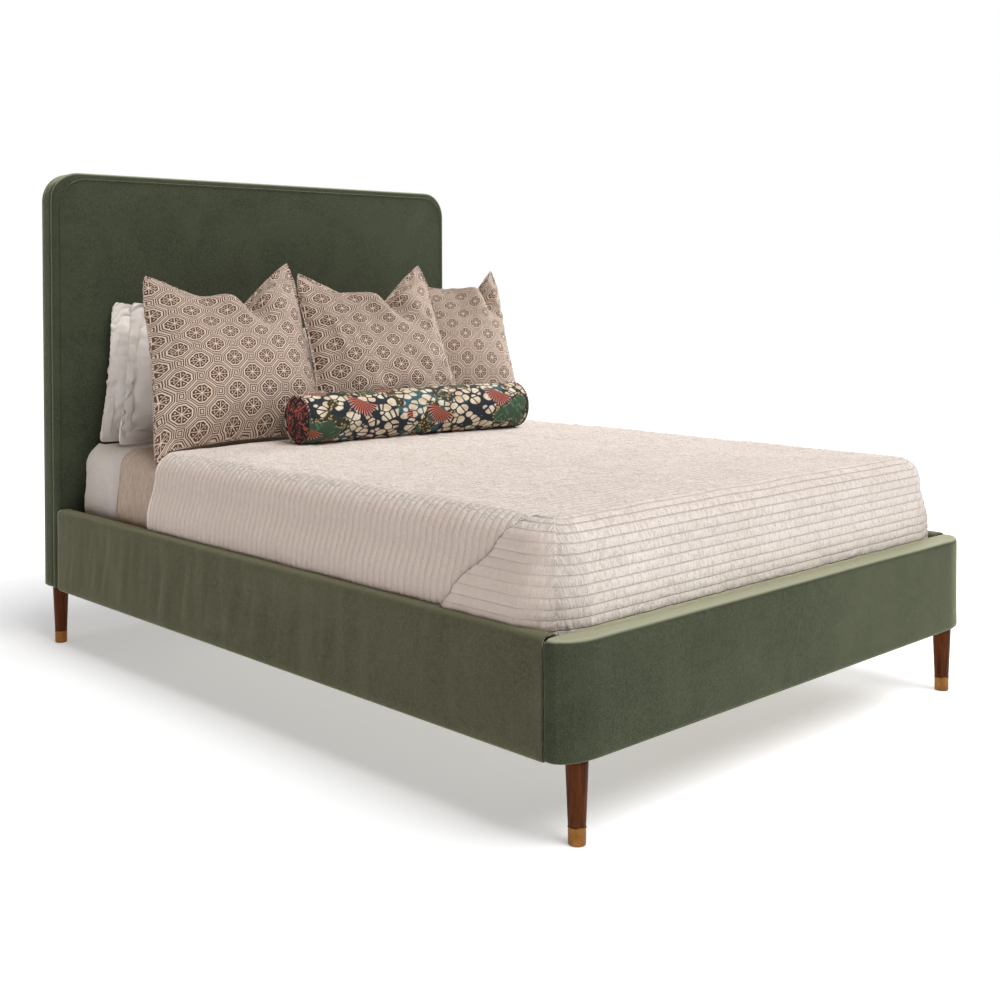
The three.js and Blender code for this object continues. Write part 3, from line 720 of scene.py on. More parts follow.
def add_headboard():
    seam_y = HIGH["headboard_front_pad"][1]
    edge, crown, ripple = 0.013, 0.004, 0.0015
    profile = [(0.006, seam_y - 0.0006), (0.001, seam_y - 0.003), (0.0, seam_y - 0.008)]
    for turn in np.linspace(0, QUARTER, 7):
        y = HEAD_FACE + crown + edge * (1 - math.sin(turn))
        profile.append((edge * (1 - math.cos(turn)), y))
    for inset in (0.018, 0.024, 0.034, 0.06, 0.1, 0.16, 0.24, 0.33, 0.42, 0.52):
        profile.append((inset, HEAD_FACE + crown * (1 - smooth(edge, 0.30, inset))))
    rings = np.array([arch_ring(inset, y) for inset, y in profile])
    flat = rings.reshape(-1, 3)
    depth = smooth(0.0, 0.05, seam_y - flat[:, 1]) * ripple
    flat[:, 1] += layered_noise(flat[:, [0, 2]], 0.45, 11) * depth
    front = ring_stack("headboard_front", rings)
    dress(front, VELVET, "velvet", "frame", "headboard_front_pad")

    low, high = LOW["headboard_border_band"][1], HIGH["headboard_border_band"][1]
    sunk, puff = 0.0035, 0.0022
    rings = [arch_ring(0.012, low)]
    for share in np.linspace(0, 1, 9):
        bulge = puff * (1 - (2 * share - 1) ** 4)
        rings.append(arch_ring(sunk - bulge, low + share * (high - low)))
    rings.append(arch_ring(0.012, high))
    border = ring_stack("headboard_border", rings, (False, False))
    dress(border, VELVET, "velvet", "frame", "headboard_border_band")

    low, high = LOW["headboard_back_cover"][1], HIGH["headboard_back_cover"][1]
    profile = [(0.004, low), (0.002, low + 0.001), (0.003, high - 0.0012),
               (0.006, high - 0.0004), (0.02, high - 0.0008), (0.3, high - 0.001)]
    back = ring_stack("headboard_back", [arch_ring(inset, y) for inset, y in profile])
    dress(back, LINING, "lining", "frame", "headboard_back_cover")

    outline = arch_loop(0.020, RAIL_BOTTOM + 0.004, 0.012)
    path = [(x, HEAD_FACE + 0.0003, z) for x, z in outline]
    dress(tube("headboard_seam", path, SEAM_RADIUS, 6), VELVET, "velvet", "frame")


def foot_loop(inset, step=0.018):
    """The footboard's outline in (x, y), round at its two front corners."""
    across, along = FOOT_CORNER
    half, front, back = HALF_WIDTH, FOOT_FACE, FOOT_INNER
    soft, side = 0.006, 0.004
    turn = front + along
    loop = joined(
        line((half - soft, back), (soft - half, back), step),
        arc(soft - half, back - soft, soft, soft, QUARTER, math.pi, 5),
        line((-half, back - soft), (-half, turn), side),
        arc(across - half, turn, across, along, math.pi, 3 * QUARTER, 18),
        line((across - half, front), (half - across, front), step),
        arc(half - across, turn, across, along, 3 * QUARTER, 4 * QUARTER, 18),
        line((half, turn), (half, back - soft), side),
        arc(half - soft, back - soft, soft, soft, 0, QUARTER, 5))
    crisp = back - min(inset, 0.004)
    x = loop[:, 0] * (half - inset) / half
    y = front + inset + (loop[:, 1] - front) * (crisp - front - inset) / (back - front)
    return np.column_stack([x, y])


def add_footboard():
    bottom, radius, wave = RAIL_BOTTOM, 0.013, 0.0014
    shoulder = RAIL_TOP - radius
    profile = [(0.012, bottom + 0.012), (0.011, bottom + 0.001), (0.004, bottom),
               (0.001, bottom + 0.003), (0.0, bottom + 0.009)]
    profile += [(0.0, z) for z in np.linspace(bottom + 0.02, shoulder - 0.004, 20)]
    for turn in np.linspace(0, QUARTER, 8):
        height = shoulder + radius * math.sin(turn) - 0.0005
        profile.append((radius * (1 - math.cos(turn)), height))
    profile += [(0.018, RAIL_TOP - 0.0002), (0.026, RAIL_TOP)]
    rings = []
    for inset, z in profile:
        loop = foot_loop(inset)
        rings.append(np.column_stack([loop, np.full(len(loop), z)]))
    rings = np.array(rings)
    flat = rings.reshape(-1, 3)
    outward = np.sign(flat[:, 1] - (FOOT_FACE + FOOT_INNER) / 2)
    pull = wave * layered_noise(flat, 0.30, 21) - wave
    flat[:, 1] += outward * pull * smooth(bottom, bottom + 0.03, flat[:, 2])
    cover = ring_stack("footboard_upholstery", rings, (False, True))
    dress(cover, VELVET, "velvet", "frame", "footboard_cover")


def add_side_rail(side):
    node = f"side_rail_cover_{side}"
    low, high = LOW[node], HIGH[node]
    middle, half = (low[0] + high[0]) / 2, (high[0] - low[0]) / 2
    radius, lip = 0.014, 0.012
    bottom, shoulder = low[2], high[2] - radius
    section = joined(
        line((lip - half, bottom + lip), (lip - half, bottom + 0.001), 0.006),
        line((0.010 - half, bottom), (0.003 - half, bottom), 0.004),
        line((-half, bottom + 0.004), (-half, shoulder), 0.015),
        arc(radius - half, shoulder, radius, radius, math.pi, QUARTER, 7),
        line((radius - half, high[2]), (half - radius, high[2]), 0.008),
        arc(half - radius, shoulder, radius, radius, QUARTER, 0, 7),
        line((half, shoulder), (half, bottom + 0.004), 0.015),
        line((half - 0.003, bottom), (half - 0.010, bottom), 0.004),
        line((half - lip, bottom + 0.001), (half - lip, bottom + lip), 0.006))
    stations = np.linspace(low[1] + 0.0005, high[1] - 0.0005, 300)
    grid = np.zeros((len(stations), len(section), 3))
    grid[:, :, 0] = middle + section[None, :, 0]
    grid[:, :, 1] = stations[:, None]
    grid[:, :, 2] = section[None, :, 1]
    flat = grid.reshape(-1, 3)
    lower = smooth(bottom, bottom + 0.05, flat[:, 2])
    upper = 1 - smooth(high[2] - 0.07, high[2], flat[:, 2])
    slanted = np.column_stack([flat[:, 1] + 0.25 * flat[:, 2], flat[:, 2] * 0.16])
    puckers = layered_noise(slanted, 0.040, 31, 2) * (lower * upper)
    lazy = value_noise(flat[:, [1, 2]], 0.4, 35)
    outward = np.sign(flat[:, 0] - middle)
    on_face = abs(flat[:, 0] - middle) > half * 0.8
    flat[:, 0] -= outward * (0.0022 - (0.0019 * puckers + 0.001 * lazy) * on_face)
    end = np.minimum(flat[:, 1] - low[1], high[1] - flat[:, 1])
    flat[:, 0] -= outward * 0.002 * (1 - smooth(0, 0.007, end))
    flat[:, 2] -= (flat[:, 2] > high[2] - 0.004) * 0.001 * (1 - smooth(0, 0.005, end))
    cover = grid_object(f"side_rail_upholstery_{side}", grid)
    apply_modifier(cover, "SOLIDIFY", thickness=0.004, offset=-1.0)
    fix_normals(cover)
    dress(cover, VELVET_RAIL, "velvet", "frame", node)


# ---------------------------------------------------------------- legs and hidden parts


def lathe(name, profile, centre, count=48):
    """A turned shape round the vertical line through centre, from (radius, height) points."""
    turn = np.linspace(0, 2 * math.pi, count, endpoint=False)
    profile = np.asarray(profile, float)
    grid = np.zeros((count, len(profile), 3))
    grid[:, :, 0] = centre[0] + np.cos(turn)[:, None] * profile[None, :, 0]
    grid[:, :, 1] = centre[1] + np.sin(turn)[:, None] * profile[None, :, 0]
    grid[:, :, 2] = profile[None, :, 1]
    item = grid_object(name, grid, wrap_u=True, caps=(True, True))
    fix_normals(item)
    return item


def add_leg(corner):
    leg, cup = f"leg_{corner}", f"ferrule_{corner}"
    centre = (LOW[leg] + HIGH[leg]) / 2
    top, cup_top = HIGH[leg][2], HIGH[cup][2]
    wide = (HIGH[leg][0] - LOW[leg][0]) / 2
    narrow = (HIGH[cup][0] - LOW[cup][0]) / 2
    heights = np.linspace(cup_top + 0.0015, top - 0.002, 14)
    share = (heights - cup_top) / (top - cup_top)
    profile = [(narrow - 0.004, LOW[leg][2]), (narrow - 0.0035, cup_top),
               (narrow - 0.0008, cup_top + 0.0003)]
    profile += list(zip(narrow + (wide - narrow) * share, heights))
    profile += [(wide - 0.002, top - 0.0003), (wide - 0.01, top)]
    dress(lathe(f"turned_leg_{corner}", profile, centre), WALNUT, "walnut", "frame", leg)
    bead = narrow + 0.0006
    shape = [(narrow - 0.006, 0.0002), (narrow - 0.002, 0.0), (narrow - 0.0006, 0.0008),
             (narrow, 0.003), (narrow, cup_top - 0.005), (bead, cup_top - 0.004),
             (bead, cup_top - 0.001), (narrow, cup_top), (narrow - 0.003, cup_top),
             (narrow - 0.0032, 0.004)]
    dress(lathe(f"brass_cup_{corner}", shape, centre), BRASS, "ferrule_brass", "frame", cup)


def finish_hidden_nodes():
    """Better materials on the CAD nodes that stay: the timber and steel inside the bed."""
    kinds = {"hardwood": HARDWOOD, "plywood": PLYWOOD, "bracket_steel": STEEL, "glide": PLASTIC}
    for part in frame["record"]["subparts"]:
        material = kinds.get(part["material_slot"])
        if material:
            item = frame["nodes"][part["node"]]
            item.data.materials.clear()
            item.data.materials.append(material)


# ---------------------------------------------------------------- bedding
MATTRESS_CORNER = 0.078
MATTRESS_EDGE = 0.055
CROWN = 0.007
FLAP_LIFT = 0.007
SHEET_OFFSET, BLANKET_OFFSET, QUILT_OFFSET = 0.0014, 0.0040, 0.0125


class Drape:
    """Maps flat cloth over the mattress. Points hang down where they pass its edges."""

    def __init__(self, offset, bulge, hem_tuck):
        self.edge = MATTRESS_EDGE + offset
        self.bulge = bulge
        self.hem_tuck = hem_tuck
        self.half = MATTRESS_HIGH[0] + offset
        self.foot = MATTRESS_LOW[1] - offset
        self.head = MATTRESS_HIGH[1] + offset
        self.top = MATTRESS_HIGH[2] + offset
        self.corner = MATTRESS_CORNER + offset
        self.side_line = self.half - self.corner
        self.foot_line = self.foot + self.corner
        self.head_line = self.head - self.corner

    def run(self, reach, bulge, lower):
        """Outward travel and drop of cloth that runs that far past the corner's centre line."""
        flat = self.corner - self.edge
        bend = np.clip((reach - flat) / self.edge, 0, QUARTER)
        out = np.minimum(reach, flat) + self.edge * np.sin(bend)
        down = self.edge * (1 - np.cos(bend))
        hang = np.maximum(reach - flat - self.edge * QUARTER, 0)
        level = self.top - down - hang
        above = RAIL_TOP + 0.012
        swell = bulge * (1 - smooth(above + 0.03, self.top - self.edge, level))
        tuck = 1 - smooth(above - 0.030 - lower, above + 0.004 - lower, level)
        out = out + swell * (1 - tuck) - self.hem_tuck * tuck
        return out, self.top - level

    def lie(self, x, y):
        """1 at the mattress's middle, 0 along its edges."""
        along = (y - (self.head + self.foot) / 2) / ((self.head - self.foot) / 2)
        return np.clip((1 - (x / self.half) ** 2) * (1 - along ** 2), 0, 1)

    def place(self, across, along, head_open):
        """World points for flat coordinates: across from the middle, along as bed Y."""
        side = np.sign(across)
        over_x = np.abs(across) - self.side_line
        foot_over, head_over = self.foot_line - along, along - self.head_line
        over_y = foot_over if head_open else np.maximum(foot_over, head_over)
        end = np.where(foot_over > head_over, -1.0, 1.0)
        px, py = np.maximum(over_x, 0), np.maximum(over_y, 0)
        norm = np.maximum(np.hypot(px, py), TINY)
        dx, dy = px / norm, py / norm
        bulge = self.bulge[0] * dx ** 2 + self.bulge[1] * dy ** 2
        out, down = self.run(np.maximum(px, py), bulge, 0.045 * dy ** 2)
        x = np.where(px > 0, side * self.side_line, across) + side * dx * out
        y_edge = np.where(end < 0, self.foot_line, self.head_line)
        y = np.where(py > 0, y_edge, along) + end * dy * out
        z = self.top - down + CROWN * self.lie(x, y)
        return np.stack([x, y, z], -1)

    def cloth(self, drop, start, step_x, step_y):
        """Flat coordinates of a cloth with that drop, from start down to the foot."""
        half = self.side_line + drop
        low = self.foot_line - drop
        across = np.linspace(-half, half, int(2 * half / step_x) | 1)
        along = np.linspace(low, start, int(abs(start - low) / step_y))
        return np.meshgrid(across, along, indexing="ij")


def field(noise, size, seed, *parts):
    """Noise over grids of numbers, in their shape."""
    spots = np.stack(parts, -1).reshape(-1, len(parts))
    return noise(spots, size, seed).reshape(parts[0].shape)


def two_layers(spots, size, seed):
    return layered_noise(spots, size, seed, 2)


def mattress_plan(inset, middle, half):
    """The mattress's outline in (x, y) with round corners, drawn inwards by inset."""
    x, y = half - inset
    r = MATTRESS_CORNER - min(inset, MATTRESS_CORNER - 0.01)
    loop = joined(
        line((x - r, y), (r - x, y), 0.05), arc(r - x, y - r, r, r, QUARTER, 2 * QUARTER, 8),
        line((-x, y - r), (-x, r - y), 0.05), arc(r - x, r - y, r, r, 2 * QUARTER, 3 * QUARTER, 8),
        line((r - x, -y), (x - r, -y), 0.05), arc(x - r, r - y, r, r, 3 * QUARTER, 4 * QUARTER, 8),
        line((x, r - y), (x, y - r), 0.05), arc(x - r, y - r, r, r, 0, QUARTER, 8))
    return loop + middle


def add_mattress():
    low, high = MATTRESS_LOW, MATTRESS_HIGH
    half = (high[:2] - low[:2]) / 2
    middle = (low + high)[:2] / 2
    outline = mattress_plan(0, middle, half)
    edge, waist = MATTRESS_EDGE, 0.004
    bend = [(edge * (1 - math.sin(t)), edge * (1 - math.cos(t))) for t in np.linspace(0, 1.57, 7)]
    upright = high[2] - low[2] - 2 * edge
    profile = [(0.25, low[2] + 0.001), (0.08, low[2] + 0.0005)]
    profile += [(inset, low[2] + rise) for inset, rise in bend]
    profile += [(waist * math.sin(t) ** 2, low[2] + edge + t / math.pi * upright)
                for t in np.linspace(0.2, 2.9, 6)]
    profile += [(rise, high[2] - inset) for inset, rise in bend]
    profile += [(0.08, high[2] - 0.0006), (0.25, high[2] - 0.001)]
    rings = []
    for inset, z in profile:
        loop = mattress_plan(inset, middle, half)
        if len(loop) != len(outline):
            loop = middle + (outline - middle) * (half - inset) / half
        rings.append(np.column_stack([loop, np.full(len(loop), z)]))
    body = ring_stack("mattress_body", rings)
    dress(body, TICKING, "ticking", "bedding", "mattress")
    for place, z in (("lower", low[2] + 0.045), ("upper", high[2] - 0.06)):
        path = [(*p, z) for p in mattress_plan(0.003, middle, half)]
        tape = tube(f"mattress_tape_{place}", path, 0.004, 8)
        dress(tape, TICKING, "ticking", "bedding")


def add_fitted_sheet():
    drape = Drape(SHEET_OFFSET, (0.004, 0.003), 0.001)
    drop = drape.corner + 0.26
    across, along = drape.cloth(drop, drape.head_line + drop, 0.014, 0.014)
    points = drape.place(across, along, False)
    x, y, z = np.moveaxis(points, -1, 0)
    ridge = 1 - 2 * np.abs(field(two_layers, 0.11, 44, x, y, z * 0.5))
    fold = 0.0035 * field(layered_noise, 0.075, 41, x, y, z) + 0.0075 * ridge ** 3
    shown = smooth(HIGH["blanket"][1] - 0.01, HIGH["blanket"][1] + 0.05, y)
    points += grid_normals(points) * (np.clip(fold, -0.001, 0.008) * shown)[..., None]
    sheet = grid_object("bed_sheet", points, np.stack([across, along], -1))
    apply_modifier(sheet, "SOLIDIFY", thickness=0.0016, offset=-1.0)
    dress(sheet, SHEET, "white_cotton", "bedding", "fitted_sheet")


def add_blanket():
    drape = Drape(BLANKET_OFFSET, (0.012, 0.004), 0.001)
    across, along = drape.cloth(drape.corner + 0.25, HIGH["blanket"][1], 0.012, 0.011)
    points = drape.place(across, along, True)
    x, y, z = np.moveaxis(points, -1, 0)
    crepe = field(value_noise, 0.010, 51, x, y * 0.35, z) * 0.0011
    crepe += field(value_noise, 0.05, 53, x, y, z) * 0.0012
    shown = smooth(HIGH["quilt"][1] - 0.02, HIGH["quilt"][1] + 0.03, y)
    points += grid_normals(points) * ((crepe + 0.0022) * shown)[..., None]
    blanket = grid_object("crinkled_blanket", points, np.stack([across, along], -1))
    apply_modifier(blanket, "SOLIDIFY", thickness=0.0028, offset=-1.0)
    dress(blanket, SAND, "sand_cotton", "bedding", "blanket")


def quilt_grid(drape, drop):
    """Flat coordinates of the quilt: fine where it hangs, coarse across the bed's top."""
    fine, coarse = CHANNEL / 5, 0.012
    hanging = np.arange(drape.side_line - 0.02, drape.side_line + drop + fine / 2, fine)
    on_top = np.linspace(0, hanging[0], int(hanging[0] / coarse), endpoint=False)
    half_line = np.concatenate([on_top, hanging])
    across = np.concatenate([-half_line[:0:-1], half_line])
    first = math.ceil((drape.foot_line - drop) / fine) * fine
    return np.meshgrid(across, np.arange(first, HIGH["quilt"][1], fine), indexing="ij")


def add_quilt():
    drape = Drape(QUILT_OFFSET, (0.026, 0.012), 0.000)
    across, along = quilt_grid(drape, drape.corner + 0.29)
    points = drape.place(across, along, True)
    normal = grid_normals(points)
    x, y, z = np.moveaxis(points, -1, 0)

    # the mitred corner: a triangle of the foot's cloth, folded back along each side
    past_side = np.abs(across) - drape.side_line
    past_foot = drape.foot_line - along
    at_side = past_side > past_foot
    behind = (y - (drape.foot + 0.155)) - (drape.top - 0.05 - z)
    behind += 0.006 * np.sin(z * 60)
    flap = at_side & (behind < 0) & (past_side > drape.corner * 0.4)
    row = np.where(flap, drape.foot_line - past_side, along)
    sideways = np.where(flap, np.sign(across) * (drape.side_line + past_foot), across)
    on_flap = smooth(0.012, -0.002, behind) * at_side
    on_flap *= smooth(drape.corner * 0.3, drape.corner * 1.1, past_side)
    edge = np.exp(-((behind - 0.010) / 0.008) ** 2) * at_side * (past_side > 0.05) * (behind > 0)

    # the channels, each a little pad with creases of its own
    number = np.floor(row / CHANNEL)
    pad = np.sin(np.pi * (row / CHANNEL - number))
    crease = field(two_layers, 0.016, 71, sideways, row * 0.3, number * 0.031)
    broad = field(two_layers, 0.07, 75, sideways, row * 0.5, 0 * row)
    swell = field(layered_noise, 0.30, 81, x, y, z)
    calm = 1 - 0.65 * smooth(0.5, 0.9, np.abs(normal[..., 0]))
    lift = 0.0019 * pad + 0.0021 * crease * pad * calm + 0.0014 * broad + 0.0022 * (swell + 0.7)
    lift += FLAP_LIFT * on_flap - 0.003 * edge
    hem = 1 - smooth(RAIL_TOP - 0.01, RAIL_TOP + 0.045, z)
    lift += 0.0025 * field(value_noise, 0.03, 91, sideways, row * 0.3) * hem
    points = points + normal * lift[..., None]
    quilt = grid_object("channel_quilt", points, np.stack([sideways, row], -1))
    apply_modifier(quilt, "SOLIDIFY", thickness=0.006, offset=-1.0)
    dress(quilt, QUILT, "quilt_cotton", "bedding", "quilt")
    hem_path = points[::3, -1] - normal[::3, -1] * 0.002
    place = np.column_stack([hem_path[:, 0], np.full(len(hem_path), CHANNEL / 2)])
    binding = tube("quilt_binding", hem_path, 0.0042, 8, closed=False, place=place)
    dress(binding, QUILT, "quilt_cotton", "bedding")


# ---------------------------------------------------------------- pillows
SQUARE_HEIGHT, SQUARE_THICKNESS = 0.598, 0.185
WHITE_HEIGHT, WHITE_THICKNESS = 0.452, 0.122
MAX_STUFFING_MOVE = 0.010
LAST_FRAME = 11


def stand_up(points, base, lean, yaw):
    """Puts local pillow points (x across, y back, z up from the lower edge) on the bed."""
    lean, yaw = math.radians(lean), math.radians(yaw)
    turn = Matrix.Rotation(yaw, 3, "Z") @ Matrix.Rotation(-lean, 3, "X")
    return points @ np.array(turn).T + np.asarray(base)


def pillow_points(count, width, height, thickness, pull, seed, chop=None, flange=0.0, crease=0.004,
                  top_pull=(0.0, 0.0), rumple=0.0015, folds=0.0):
    """Front and back grids of a stuffed square: fat in the middle, thin and wavy at its seam.

    top_pull draws the upper left and right corners inwards.
    """
    reach = QUARTER * 0.985
    share = np.sin(np.linspace(-1, 1, count) * reach) / math.sin(reach)
    u, v = np.meshgrid(share, share, indexing="ij")
    body_u = np.clip(u * width / (width - 2 * flange), -1, 1)
    body_v = np.clip(v * height / (height - 2 * flange), -1, 1)
    pull_x = 1 - pull * (1 - v ** 2) * np.abs(u) ** 3
    pull_z = 1 - pull * (1 - u ** 2) * np.abs(v) ** 3
    if chop:
        pull_z = np.where(v > 0, 1.0, pull_z)
    blunt = 1 - 0.045 * np.abs(u * v) ** 9
    x = u * pull_x * blunt * width / 2
    z = v * pull_z * blunt * height / 2
    uv = np.stack([x, z], -1)
    x = x + (v + 1) / 2 * (top_pull[0] * (1 - u) / 2 - top_pull[1] * (1 + u) / 2)
    fat = ((1 - np.abs(body_u) ** 2.4) * (1 - np.abs(body_v) ** 2.4)) ** 0.62
    sag = 1 + 0.16 * (-v) * (1 - v ** 2)
    edge = np.minimum(1 - np.abs(body_u), 1 - np.abs(body_v))
    pucker = np.exp(-((edge - 0.06) / 0.07) ** 2) * (edge > 0)
    wave = np.arctan2(z, x) * 46 + 3 * field(value_noise, 0.12, seed, x, z)
    gather = np.sin(wave) * pucker
    soft = field(layered_noise, 0.17, seed + 5, x, z) * fat
    slack = field(layered_noise, 0.055, seed + 9, x, z * 0.45) * fat ** 0.5
    wander = field(two_layers, 0.10, seed + 13, (x + 0.35 * z) * 0.6, z * 1.5)
    slack = slack + folds * np.clip((1 - 2 * np.abs(wander)) ** 3, -0.3, 1)
    faces = []
    for side in (-1, 1):
        puff = thickness / 2 * fat * sag + crease * 0.45 * gather * fat ** 0.3
        y = side * (puff + 0.006 * soft + rumple * slack + 0.0012)
        points = np.stack([x, y, z + height / 2], -1)
        faces.append(karate_chop(points, u, v, height, side, **chop) if chop else points)
    return (*faces, uv)


def karate_chop(points, u, v, height, side, at=0.0, depth=0.24, ears=(0.0, 0.0), dent=1.0,
                slant=0.42):
    """Presses the top seam down at one place, so that the two upper corners stand up as ears.

    A crease runs down from there to the right, behind a full lip. ears lowers each upper corner.
    """
    left = 1 - (at - u) / (1 + at)
    right = 1 - (u - at) / (1 - at)
    tent = np.clip(np.where(u < at, left, right), 0, 1)
    tent = tent - 0.05 * np.sin(math.pi * tent)
    upper = smooth(-0.35, 1.0, v)
    rim = smooth(0.72, 1.0, v)
    drop = depth * height * (0.62 * upper ** 1.6 + 0.38 * rim) * tent
    points[..., 2] -= drop + upper * (ears[0] * (1 - u) / 2 + ears[1] * (1 + u) / 2)
    across = u - at - slant * (1 - v)
    valley = dent * np.exp(-(across / 0.15) ** 2) * smooth(0.05, 0.75, v)
    if side < 0:
        lip = dent * np.exp(-((across + 0.30) / 0.22) ** 2) * smooth(0.05, 0.70, v)
        lip *= 1 - 0.75 * rim
        points[..., 1] += 0.062 * valley * (1 - 0.5 * rim) - 0.030 * lip
        points[..., 2] += 0.012 * lip
    else:
        points[..., 1] += 0.014 * valley
    tips = smooth(0.55, 1.0, v) * np.abs(u) ** 3
    points[..., 1] += 0.02 * dent * tips * np.sign(u)
    return points


def pillow_object(name, front, back, uv):
    """Welds two grids that share their rim into one closed skin. Also returns the rim."""
    count = front.shape[0]
    rim = np.zeros((count, count), bool)
    rim[[0, -1], :] = True
    rim[:, [0, -1]] = True
    inner = ~rim
    middle = (front + back) / 2
    front[rim] = middle[rim]
    front_index = np.arange(count * count).reshape(count, count)
    back_index = front_index.copy()
    back_index[inner] = count * count + np.arange(inner.sum())
    points = np.concatenate([front.reshape(-1, 3), back[inner]])
    coords = np.concatenate([uv.reshape(-1, 2), uv[inner]])
    faces = []
    for i in range(count - 1):
        for j in range(count - 1):
            corners = ((i, j), (i + 1, j), (i + 1, j + 1), (i, j + 1))
            faces.append([front_index[p] for p in corners])
            faces.append([back_index[p] for p in reversed(corners)])
    item = new_object(name, points, faces, coords)
    fix_normals(item)
    loop = np.concatenate([middle[0, :-1], middle[:-1, -1], middle[-1, :0:-1], middle[:0:-1, 0]])
    return item, loop, np.flatnonzero(rim.ravel())


def vertex_places(mesh):
    places = np.zeros(len(mesh.vertices) * 3, np.float32)
    mesh.vertices.foreach_get("co", places)
    return places.reshape(-1, 3)


def stuff(item, rim, grow, pressure):
    """A short cloth simulation: the cover is a little too large for its filling and wrinkles.

    The rim is pinned, no point moves far, and the result becomes the mesh.
    """
    start = vertex_places(item.data)
    group = item.vertex_groups.new(name="seam")
    group.add([int(i) for i in rim], 1.0, "REPLACE")
    cloth = item.modifiers.new("stuffing", "CLOTH")
    fabric = dict(
        vertex_group_mass="seam", quality=6, mass=0.2, tension_stiffness=20,
        compression_stiffness=20, shear_stiffness=8, bending_stiffness=0.25, air_damping=4,
        use_pressure=True, uniform_pressure_force=pressure, shrink_min=-grow)
    for key, value in fabric.items():
        setattr(cloth.settings, key, value)
    cloth.settings.effector_weights.gravity = 0
    cloth.collision_settings.use_collision = False
    cloth.point_cache.frame_start, cloth.point_cache.frame_end = 1, LAST_FRAME
    scene = bpy.context.scene
    for number in range(1, LAST_FRAME + 1):
        scene.frame_set(number)
    posed = item.evaluated_get(bpy.context.evaluated_depsgraph_get())
    moved = vertex_places(posed.data) - start
    item.modifiers.remove(cloth)
    item.vertex_groups.clear()
    scene.frame_set(1)
    far = np.linalg.norm(moved, axis=1)
    keep = MAX_STUFFING_MOVE * np.tanh(far / MAX_STUFFING_MOVE) / np.maximum(far, TINY)
    low = start[:, 2].min()
    keep *= smooth(low + 0.003, low + 0.05, start[:, 2])
    end = (start + moved * keep[:, None]).astype(np.float32)
    item.data.vertices.foreach_set("co", end.ravel())
    item.data.update()


def bed_fall(points, offset):
    """How far the cloth that far above the mattress falls below its middle, at each point."""
    drape = Drape(offset, (0, 0), 0)
    past_side = np.abs(points[..., 0]) - (drape.half - drape.edge)
    past_head = points[..., 1] - (drape.head - drape.edge)
    past = np.hypot(np.maximum(past_side, 0), np.maximum(past_head, 0))
    past = np.clip(past, 0, drape.edge * 0.93)
    lie = drape.lie(points[..., 0], points[..., 1])
    return CROWN * (1 - lie) + drape.edge - np.sqrt(drape.edge ** 2 - past ** 2)


def settle(points, offset, floor):
    """Rests a pillow on the bed: its lower part droops with the cloth and stops at it."""
    fall = bed_fall(points, offset)
    z = points[..., 2] - fall * (1 - smooth(0.02, 0.20, points[..., 2] - floor))
    floor = floor - fall
    over, soft = z - floor, 0.02
    rounded = soft * np.exp(np.minimum(over - soft, 0) / soft)
    points[..., 2] = floor + np.where(over > soft, over, rounded)
    return points


def add_euro_pillow(node, base, yaw, width, chop, top_pull, seed):
    *grids, uv = pillow_points(84, width, SQUARE_HEIGHT, SQUARE_THICKNESS, 0.075, seed, chop,
                               top_pull=top_pull)
    front, back = (settle(stand_up(p, base, 24, yaw), QUILT_OFFSET, BED_TOP - 0.003)
                   for p in grids)
    item, loop, rim = pillow_object(node.replace("euro_pillow", "square_pillow"), front, back, uv)
    stuff(item, rim, 0.035, 3.0)
    dress(item, ROSETTE, "printed_linen", "bedding", node)
    piping = tube(f"{item.name}_piping", loop, 0.0034, 8, twist=0.12)
    dress(piping, ROSETTE, "printed_linen", "bedding")


def add_bed_pillow(node, base, top_pull, seed):
    width = HIGH[node][0] - LOW[node][0]
    if top_pull[0] > 0:
        sag = dict(at=0.5, depth=0.12, dent=0.15, ears=(0.0, 0.10))
    else:
        sag = dict(at=0.0, depth=0.12, dent=0.15, ears=(0.10, 0.06))
    *grids, uv = pillow_points(70, width, WHITE_HEIGHT, WHITE_THICKNESS, 0.045, seed, sag,
                               0.040, 0.009, top_pull, 0.007, 1.1)
    front, back = (settle(stand_up(p, base, 6, 0), SHEET_OFFSET, base[2] - 0.006) for p in grids)
    item, _, rim = pillow_object(node.replace("bed_pillow", "white_pillow"), front, back, uv)
    stuff(item, rim, 0.06, 1.5)
    dress(item, WHITE, "white_cotton", "bedding", node)


def add_pillows():
    for side, sign, pulls in (("left", -1, (0.075, 0.0)), ("right", 1, (0.0, 0.075))):
        for row, seed in (("back", 101), ("front", 111)):
            node = f"bed_pillow_{row}_{side}"
            low, high = LOW[node], HIGH[node]
            base = ((low[0] + high[0]) / 2 - sign * 0.022, low[1] + 0.058,
                    HIGH["fitted_sheet"][2] + 0.004)
            add_bed_pillow(node, base, pulls, seed + sign)
    # shift across, setback, yaw, width, chop, pull of the upper corners, seed
    squares = {
        "left": (0.030, 0.045, -1, 0.632, dict(at=0.06, depth=0.29, ears=(0.04, -0.028), dent=1.15),
                 (0.075, -0.035), 201),
        "centre": (0.036, 0.051, -2, 0.632,
                   dict(at=0.05, depth=0.30, ears=(0.03, -0.024), dent=1.15), (0.04, 0.0), 211),
        "right": (-0.012, 0.090, -11, 0.58,
                  dict(at=0.50, depth=0.16, ears=(0.075, -0.004), slant=0.2), (0.15, -0.03), 221),
    }
    for place, (shift, setback, *shape) in squares.items():
        node = f"euro_pillow_{place}"
        low, high = LOW[node], HIGH[node]
        base = ((low[0] + high[0]) / 2 + shift, low[1] + setback, BED_TOP + 0.002)
        add_euro_pillow(node, base, *shape)


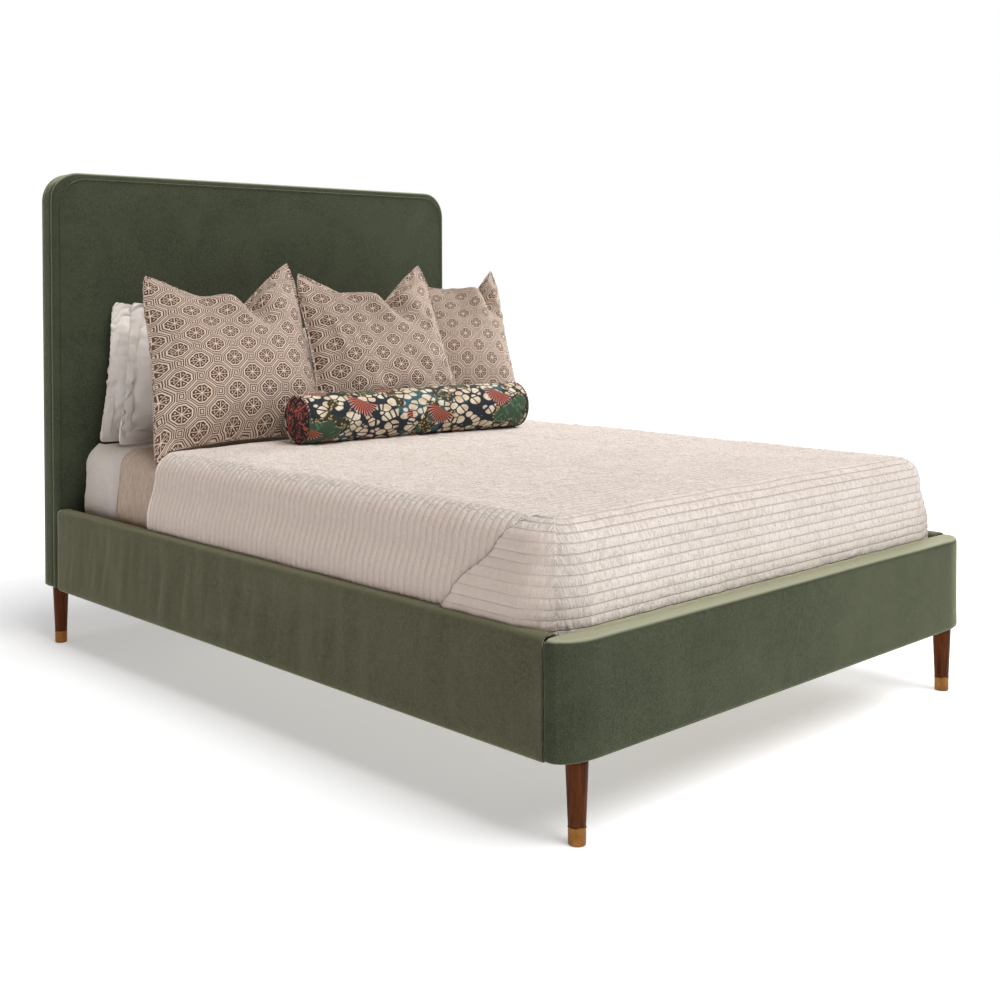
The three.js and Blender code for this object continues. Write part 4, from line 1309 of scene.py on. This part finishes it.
def add_bolster():
    low, high = LOW["bolster"], HIGH["bolster"]
    radius = (high[2] - low[2]) / 2
    corners = np.array([v.co for v in frame["nodes"]["bolster"].data.vertices])
    left = corners[corners[:, 0] < low[0] + 0.03].mean(0)
    right = corners[corners[:, 0] > high[0] - 0.03].mean(0)
    axis = (right - left) * [1, 1, 0]
    axis /= np.linalg.norm(axis)
    side, up = np.array([-axis[1], axis[0], 0]), np.array([0, 0, 1.0])
    middle = (low + high) / 2 + np.array([-0.018, 0.020, 0])
    half_length = (high[0] - low[0] - 0.012) / 2
    turn = np.linspace(0, 2 * math.pi, 72, endpoint=False)
    along, angle = np.meshgrid(np.linspace(-1, 1, 110), turn, indexing="ij")
    ends = 1 - 0.05 * smooth(0.93, 1.0, np.abs(along)) ** 2
    lumps = field(value_noise, 0.6, 301, along * 3.2, np.cos(angle), np.sin(angle))
    r = radius * 0.985 * ends * (1 + 0.012 * lumps)
    grid = middle + axis * (along * half_length)[..., None]
    grid = grid + side * (r * np.cos(angle))[..., None] + up * (r * np.sin(angle))[..., None]
    grid[..., 2] = np.maximum(grid[..., 2], low[2] + 0.001)
    grid = np.concatenate([grid, grid[:, :1]], 1)
    unrolled = np.append(turn, 2 * math.pi) * radius
    uv = np.stack(np.meshgrid(along[:, 0] * half_length, unrolled, indexing="ij"), -1)
    body = grid_object("bolster_cover", grid, uv)
    apply_modifier(body, "WELD", merge_threshold=1e-5)
    dress(body, FLORAL, "floral_cotton", "bedding", "bolster")
    disc = radius * np.stack([np.cos(turn), np.sin(turn)], -1)
    for name, index, sign in (("left", 0, -1), ("right", -1, 1)):
        ring = grid[index, :-1]
        centre = ring.mean(0)
        rings, coords = [], []
        for share in (1.0, 0.92, 0.8, 0.6, 0.4, 0.2, 0.0):
            puff = 0.010 * (1 - share ** 2) * sign
            rings.append(centre + (ring - centre) * share + axis * puff)
            coords.append(share * disc)
        cap = grid_object(f"bolster_cap_{name}", np.stack(rings, 1), np.stack(coords, 1),
                          wrap_u=True)
        apply_modifier(cap, "WELD", merge_threshold=1e-5)
        dress(cap, FLORAL_RED, "floral_cotton", "bedding")
        piping = tube(f"bolster_piping_{name}", ring, 0.0032, 8)
        dress(piping, FLORAL, "floral_cotton", "bedding")


add_camera()
add_stage()
add_headboard()
add_footboard()
for rail_side in ("left", "right"):
    add_side_rail(rail_side)
for leg_corner in ("front_left", "front_right", "back_left", "back_right"):
    add_leg(leg_corner)
finish_hidden_nodes()
add_mattress()
add_fitted_sheet()
add_blanket()
add_quilt()
add_pillows()
add_bolster()
